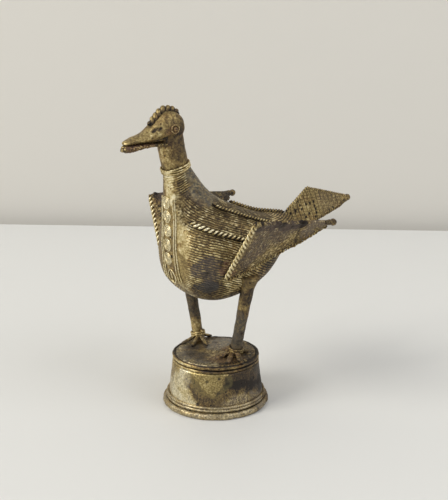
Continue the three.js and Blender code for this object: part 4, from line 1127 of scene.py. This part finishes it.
wing_grey = (0.18, 0.13, 0.098)
wing_middle = both_sides((38, 2, 62), (36, 6, 58), (34, 2, 55), (31, 5, 51), (34, 12, 56), (28, 0, 48),
                         (36, 14, 60))
wing_points = both_sides((37, 28, 60), (36.8, 33, 60.2), (34.5, 27, 56.5))
# A dark smudge lies under the upper edge of each wing, deepened there as painted shade where the dish hollows
# under the thickened edge.
smudge_and_painted_shade_under_edge = both_sides((38.3, 6, 64.6), (37.7, 9.5, 63.1), (36.9, 12, 61.8), (36.7, 14.5, 61.6),
                        (36.8, 18, 61.5), (37, 21, 62.2))
smudge_and_painted_shade_at_front = both_sides((39.3, -2.5, 63.6), (38.8, 1, 63.2), (38.4, 4, 63))
edge_finish = aged_brass("wing cord brass", 0.56, 0.8, threads=1.1, mottle_size=3)
rough_finish = aged_brass("wing edge brass", 0.33, 1.0, threads=0.8, mottle_size=2)
knob_finish = aged_brass("knob brass", 0.35, 1.1, mottle_size=1.8, grain=0.7)
# The far wing is a darker copy of the near one, as painted shade, and its point carries a near-black painted
# shadow under the stem of its knob.
wing_brightness_with_far_painted_shade = {"left": 0.17, "right": 0.02}
point_tint_and_far_painted_shadow = {"left": (0.29, 0.225, 0.17), "right": (0.07, 0.056, 0.042)}
for name, corners in wing_corners.items():
    wing_finish = aged_brass(
        f"wing brass {name}", wing_brightness_with_far_painted_shade[name], 1.1, threads=0.8, mottle_size=2.4, grain=0.9,
        speckling=1.9, pitting=1.0, roughness=0.7,
        bright=[(both_sides((27, 12, 46), (24, 4, 43), (31, 20, 53)), 3.0, 0.12)],
        dark=[(smudge_and_painted_shade_under_edge, 3.0, 0.6), (smudge_and_painted_shade_at_front, 3.2, 0.42),
              (both_sides((27, -4, 49), (24, 0, 43)), 2.5, 0.12)],
        stains=[(wing_middle, 7.5, 1.0, wing_grey), (wing_points, 5, 0.95, point_tint_and_far_painted_shadow[name]),
                (both_sides((23, -6, 42.5)), 2.6, 0.6, fire_red)])
    low, high, tip = np.array(corners, float)
    side = np.sign(high[0])
    back = (tip - high) / np.linalg.norm(tip - high)
    front_low = low + back * 0.3
    front_high = high + back * 0.3
    out = np.cross(back, front_high - front_low)
    out *= side / np.linalg.norm(out)
    lower = [front_low] + [np.array([side * x, y, z]) for x, y, z in wing_lower_line] + [tip]
    sheet = wing_sheet(front_low, front_high, tip, lower, out)
    piece(f"wing_sheet_{name}", sheet, wing_finish, [f"wing_{name}", f"wing_tip_{name}"])

    points, ups = evenly(np.linspace(low, high, 60), np.repeat(out[None], 60, 0), 170)
    cord = twisted_cord(points, ups, 1.1, 4.4, hand=side, free=True)
    piece(f"wing_cord_{name}", cord, edge_finish, [f"wing_front_cord_{name}"])

    shares = np.linspace(0.02, 0.95, 120)
    along_edge = smooth_run(lower, shares)
    towards_top = front_high + (tip - front_high) * shares[:, None] - along_edge
    towards_top /= np.linalg.norm(towards_top, axis=1, keepdims=True)
    points, ups = evenly(along_edge - towards_top * 0.35, np.repeat(out[None], 120, 0), 220)
    edge = twisted_cord(points, ups, 0.66, 2.8, hand=side, free=True)
    unevened(edge, 0.34, 1.5, 18)
    piece(f"wing_lower_thread_{name}", edge, rough_finish, [f"wing_edge_thread_{name}"])

    stem = bird_spots(*(tip - back * distance for distance in (5, 3, 1.8, 0.9, 0)))
    knob = balled_rod(stem, (0.8, 1.2, 1.3, 1.1, 1.0), ball(tip + back * 0.3, 1.58, 32, 20))
    unevened(knob, 0.12, 1.3, 12)
    piece(f"wing_end_{name}", knob, knob_finish, [f"wing_knob_{name}"])

# Tail
# An upright kite of crossed wax threads pressed flat, so that fine slots are left between them, with black
# pits at some of the crossings. A twisted cord stiffens its edges, and the point ends in a bead.
tail_start, tail_half_thickness, pit_radius, slot_depth, pit_depth = 40, 0.7, 0.54, 0.18, 0.45
upright_pitch, level_pitch, upright_slot, level_slot = 2.45, 1.55, 0.34, 0.28

# Corners and pits are (y, z) on the upright middle of the bird
tail_root, tail_top, tail_end = (42.8, 57.4), (55.3, 67.0), (80.8, 59.8)
tail_low, tail_bottom, tail_turn = (45.5, 52.0), (60.0, 51.4), (76.5, 56.8)
upper_line = ((tail_start, 55.4), tail_root, tail_top, (tail_end[0], 59.9))
lower_line = ((tail_start, 52.6), tail_low, tail_bottom, tail_turn, (tail_end[0], 59.0))
tail_pits = [(54.3, 59.7), (56.8, 59.9), (59.0, 60.4), (59.7, 58.2), (60.5, 56.7), (61.1, 54.8), (60.7, 52.8),
             (56.7, 55.0), (54.8, 53.6), (44.9, 56.6), (49.2, 61.9), (50.6, 59.7), (51.8, 57.6), (48, 57.4),
             (69.1, 54.9), (71.5, 55.8)]


def tail_noise(y, z, size, seed):
    return noise.noise(Vector((y / size, z / size, seed)))


def from_slot(across, pitch):
    """How far a place is from the nearest of a row of slots."""
    return abs((across / pitch + 0.5) % 1 - 0.5) * pitch


tail_sheet = bmesh.new()
bmesh.ops.create_grid(tail_sheet, x_segments=220, y_segments=96, size=0.5)
relief = tail_sheet.verts.layers.float.new("relief")
for vert in tail_sheet.verts:
    share, height = vert.co.x + 0.5, vert.co.y + 0.5
    y = tail_start + share * (tail_end[0] - tail_start)
    top, bottom = np.interp(y, *zip(*upper_line)), np.interp(y, *zip(*lower_line))
    z = bottom + (top - bottom) * height
    upright = from_slot(y + 0.4 * (z - 60) + 0.5 * tail_noise(y, z, 6, 2), upright_pitch)
    level = from_slot(z + 0.02 * y + 0.4 * tail_noise(y, z, 6, 5), level_pitch)
    shown = 0.3 + 0.9 * max(0, 0.2 + tail_noise(y, z, 5, 9)) + 0.25 * (y < 60)
    slot = max(0, (1 - upright / upright_slot), (1 - level / level_slot) * 0.55) * min(shown, 1)
    nearest = min(math.hypot(y - pit_y + 0.3 * (z - pit_z), 0.7 * (z - pit_z)) for pit_y, pit_z in tail_pits)
    pit = max(0, 1 - nearest / pit_radius) ** 0.5
    vert[relief] = min(max(1 - 0.8 * slot - 1.6 * pit, 0), 1)
    lift = 0.15 - slot_depth * slot - pit_depth * pit + 0.14 * tail_noise(y, z, 4, 3)
    vert.co = Vector((tail_half_thickness + lift, y, z))
other_face = bpy.data.meshes.new("other face")
tail_sheet.to_mesh(other_face)
other_face.transform(Matrix.Scale(-1, 4, (1, 0, 0)))
tail_sheet.from_mesh(other_face)
bpy.data.meshes.remove(other_face)
bmesh.ops.bridge_loops(tail_sheet, edges=[edge for edge in tail_sheet.edges if edge.is_boundary])
for vert in tail_sheet.verts:
    vert.co = on_bird(vert.co)
bmesh.ops.recalc_face_normals(tail_sheet, faces=tail_sheet.faces[:])
sandy_end = bird_spots((1, 68, 58), (1, 73, 59), (1, 66, 62))
tail_finish = aged_brass("tail brass", 0.28, 0.7, threads=0.75, mottle_size=3, grain=0.6, speckling=1.1,
                         dark=[(bird_spots((1, 47, 55), (1, 50, 53)), 5, 0.12)],
                         stains=[(sandy_end, 6, 0.35, (0.33, 0.255, 0.185))])
piece("tail_lattice", tail_sheet, tail_finish, ["tail_plate"])
# Painted shade along the underside of the tail's lower edge cord.
lower_cord_painted_shade = bird_spots((0, 62, 51.5), (0, 68, 53.5), (0, 74, 55), (0, 78, 57))
tail_cord_finish = aged_brass("tail cord brass", 0.34, 1.0, threads=0.9, mottle_size=2.5,
                              dark=[(lower_cord_painted_shade, 4, 0.12)])
tail_edges = (("upper", (tail_root, tail_top, tail_end), 0.35, 0.8, "rubbed_brass"),
              ("lower", (tail_low, tail_bottom, tail_turn, tail_end), -0.45, 1.05, "dark_brass"))
for name, corners, rise, radius, slot in tail_edges:
    corners = np.array([(0, y, z + rise) for y, z in corners])
    shares = np.linspace(0, 1, 30)[:-1, None]
    sides = [start + (end - start) * shares for start, end in zip(corners, corners[1:])]
    run = np.vstack(sides + [corners[-1:]])
    points, ups = evenly(run, np.repeat([[1.0, 0, 0]], len(run), 0), 210)
    cord = twisted_cord(points, ups, radius, 2.7, free=True)
    unevened(cord, 0.12, 1.5, 19)
    piece(f"tail_cord_{name}", cord, tail_cord_finish, [f"tail_edge_thread_{name}"])
bead_neck = bird_spots((0, 75.9, 56.9), (0, 77.7, 57.6), (0, 79.5, 58.5), (0, 81.3, 59.4))
bead = balled_rod(bead_neck, (0.9, 1.25, 1.4, 1.3), ball((0, 81.3, 59.4), 1.6, 28, 18))
unevened(bead, 0.12, 1.3, 14)
piece("tail_end_bead", bead, knob_finish, ["tail_bead"])

# Legs, anklets and toes
# Two plain rods of wax that flare where they join the belly. Each has an anklet of two threads tied with a
# curl, and four rolled toes pressed on to the top of the base.
leg_finish = aged_brass(
    "leg brass", 0.40, 0.6, mottle_size=3.2, grain=1.2, speckling=1.05, pitting=1.0,
    # Painted highlights on the sides of both legs towards the window, and painted shade down the back of the
    # near leg
    bright=[(bird_spots((18, -1, 27), (18.5, -1.5, 31)), 3.5, 0.14),
            (bird_spots((-14.5, 0, 5), (-14.7, 0, 7.5)), 3.2, 0.22)],
    dark=[(bird_spots((-16, 2, 15), (-17, 2, 20), (-17.8, 3, 24)), 6, 0.24),
          (bird_spots((18, 6, 20), (15, 6, 10), (20, 6, 30)), 6, 0.2),
          (bird_spots((15, 0, 12), (14, 0, 6)), 6, 0.12)],
    stains=[(bird_spots((15.5, 2, 14), (14, 2, 8), (16.5, 2.5, 18)), 6, 0.9, (0.175, 0.152, 0.112)),
            (bird_spots((-15.5, 2, 12), (-16, 2, 16), (-17, 2, 21)), 5.5, 0.7, (0.14, 0.115, 0.078))])
anklet_finish = {"left": aged_brass("near anklet brass", 0.06, 1.0, threads=0.9, mottle_size=2),
                 "right": aged_brass("far anklet brass", 0.36, 1.0, threads=0.9, mottle_size=2)}
left_toes = bird_spots((11, -3, 1), (14, -1, 1))
right_toes = bird_spots((-14, -4, 1), (-13, -1, 1), (-16, -3, 1))
toe_finish = {"left": aged_brass("near toe brass", 0.20, 1.2, threads=0.6, mottle_size=1.6, pitting=1.0,
                                 stains=[(left_toes, 7, 0.6, (0.26, 0.165, 0.095))]),
              "right": aged_brass("far toe brass", 0.34, 1.1, threads=1.0, mottle_size=1.8,
                                  stains=[(right_toes, 8, 0.7, (0.30, 0.245, 0.165))])}
toe_lumps = {"left": 0.6, "right": 0.18}
toe_radius = {"left": 1.25, "right": 0.82}
# Where each leg stands and where it meets the belly, as (x, y), and how far its foot is turned, in degrees
stances = {"left": ((12.9, 3.3), (20.6, 5.1), 34), "right": ((-13.4, 2.4), (-20.4, 0.2), 37)}
hip_height, leg_radius, leg_taper, toe_steps = 36.0, 2.45, 0.6, 22
anklet_height, anklet_radius, anklet_thread = 3.3, 2.95, 0.55
curl_height, curl_distance, curl_radius, curl_thread = 3.9, 3.3, 0.75, 0.45
toe_fan = (("inner", -38, 7.2), ("middle", 0, 8), ("outer", 38, 8), ("hind", 148, 5))


def top_fall(x, y):
    """How far the top of the base falls away under a point of the bird."""
    return -disc_dome * ((x + bird_offset[0]) ** 2 + y ** 2) / disc_radius ** 2


for name, (ankle, hip, toe_turn) in stances.items():
    foot = np.array([*ankle, top_fall(*ankle)])
    top = np.array([*hip, hip_height])
    run = (top - foot) / np.linalg.norm(top - foot)
    shares = np.linspace(-0.01, 1.07, 60)
    points = foot + (top - foot) * shares[:, None]
    flare = 1.4 * np.clip((shares - 0.86) / 0.2, 0, 1) ** 2 + 0.7 * np.clip(1 - shares / 0.07, 0, 1) ** 2
    radii = leg_radius + leg_taper * np.clip(shares, 0, 1) ** 2 + flare
    leg = gathered([drawn_thread(points / 1000 + np.array(bird_place), radii, fineness=10)])
    unevened(leg, 0.2, 4, 15)
    piece(f"leg_rod_{name}", leg, leg_finish, [f"leg_{name}"])

    across = np.cross(run, [0, -1, 0])
    across /= np.linalg.norm(across)
    forwards = np.cross(across, run)
    turns = np.linspace(0, 2 * math.pi, 60, endpoint=False)[:, None]
    spokes = across * np.cos(turns) + forwards * np.sin(turns)
    threads = []
    for rise in (-0.5, 0.5):
        wave = 0.12 * np.sin(3 * turns + rise)
        points = foot + run * (anklet_height + rise) + anklet_radius * spokes + run * wave
        threads.append(thread_on(points, spokes, anklet_thread, closed=True))
    curl_turns = np.linspace(0, 1.7 * math.pi, 24)[:, None]
    away = -across * 0.6 - forwards * 0.8 if name == "left" else across
    curl_middle = foot + run * curl_height + away * curl_distance
    points = curl_middle + curl_radius * (away * np.cos(curl_turns) + run * np.sin(curl_turns))
    threads.append(thread_on(points, np.repeat(forwards[None], 24, 0), curl_thread))
    anklet = gathered(threads)
    piece(f"anklet_threads_{name}", anklet, anklet_finish[name], [f"anklet_{name}"])

    for toe, direction, length in toe_fan:
        turn = math.radians(direction + toe_turn)
        heading = np.array([math.sin(turn), -math.cos(turn)])
        shares = np.linspace(0, 1, toe_steps)
        spots = foot[:2] + heading * (1.6 + shares[:, None] * (length + 1.1))
        falls = np.array([top_fall(*spot) for spot in spots])
        points = np.column_stack([spots, falls + np.interp(shares, [0, 0.4, 0.8, 1], [2.5, 1.35, 0.5, 0.25])])
        radii = toe_radius[name] * (1 - 0.3 * shares ** 2) * np.minimum(1, (1.04 - shares) * 7) ** 0.5
        shape = gathered([thread_on(points, np.repeat([[0.0, 0, 1]], toe_steps, 0), radii, fineness=6)])
        unevened(shape, toe_lumps[name], 1.7, 16 + direction)
        piece(f"rolled_toe_{toe}_{name}", shape, toe_finish[name], [f"toe_{toe}_{name}"])
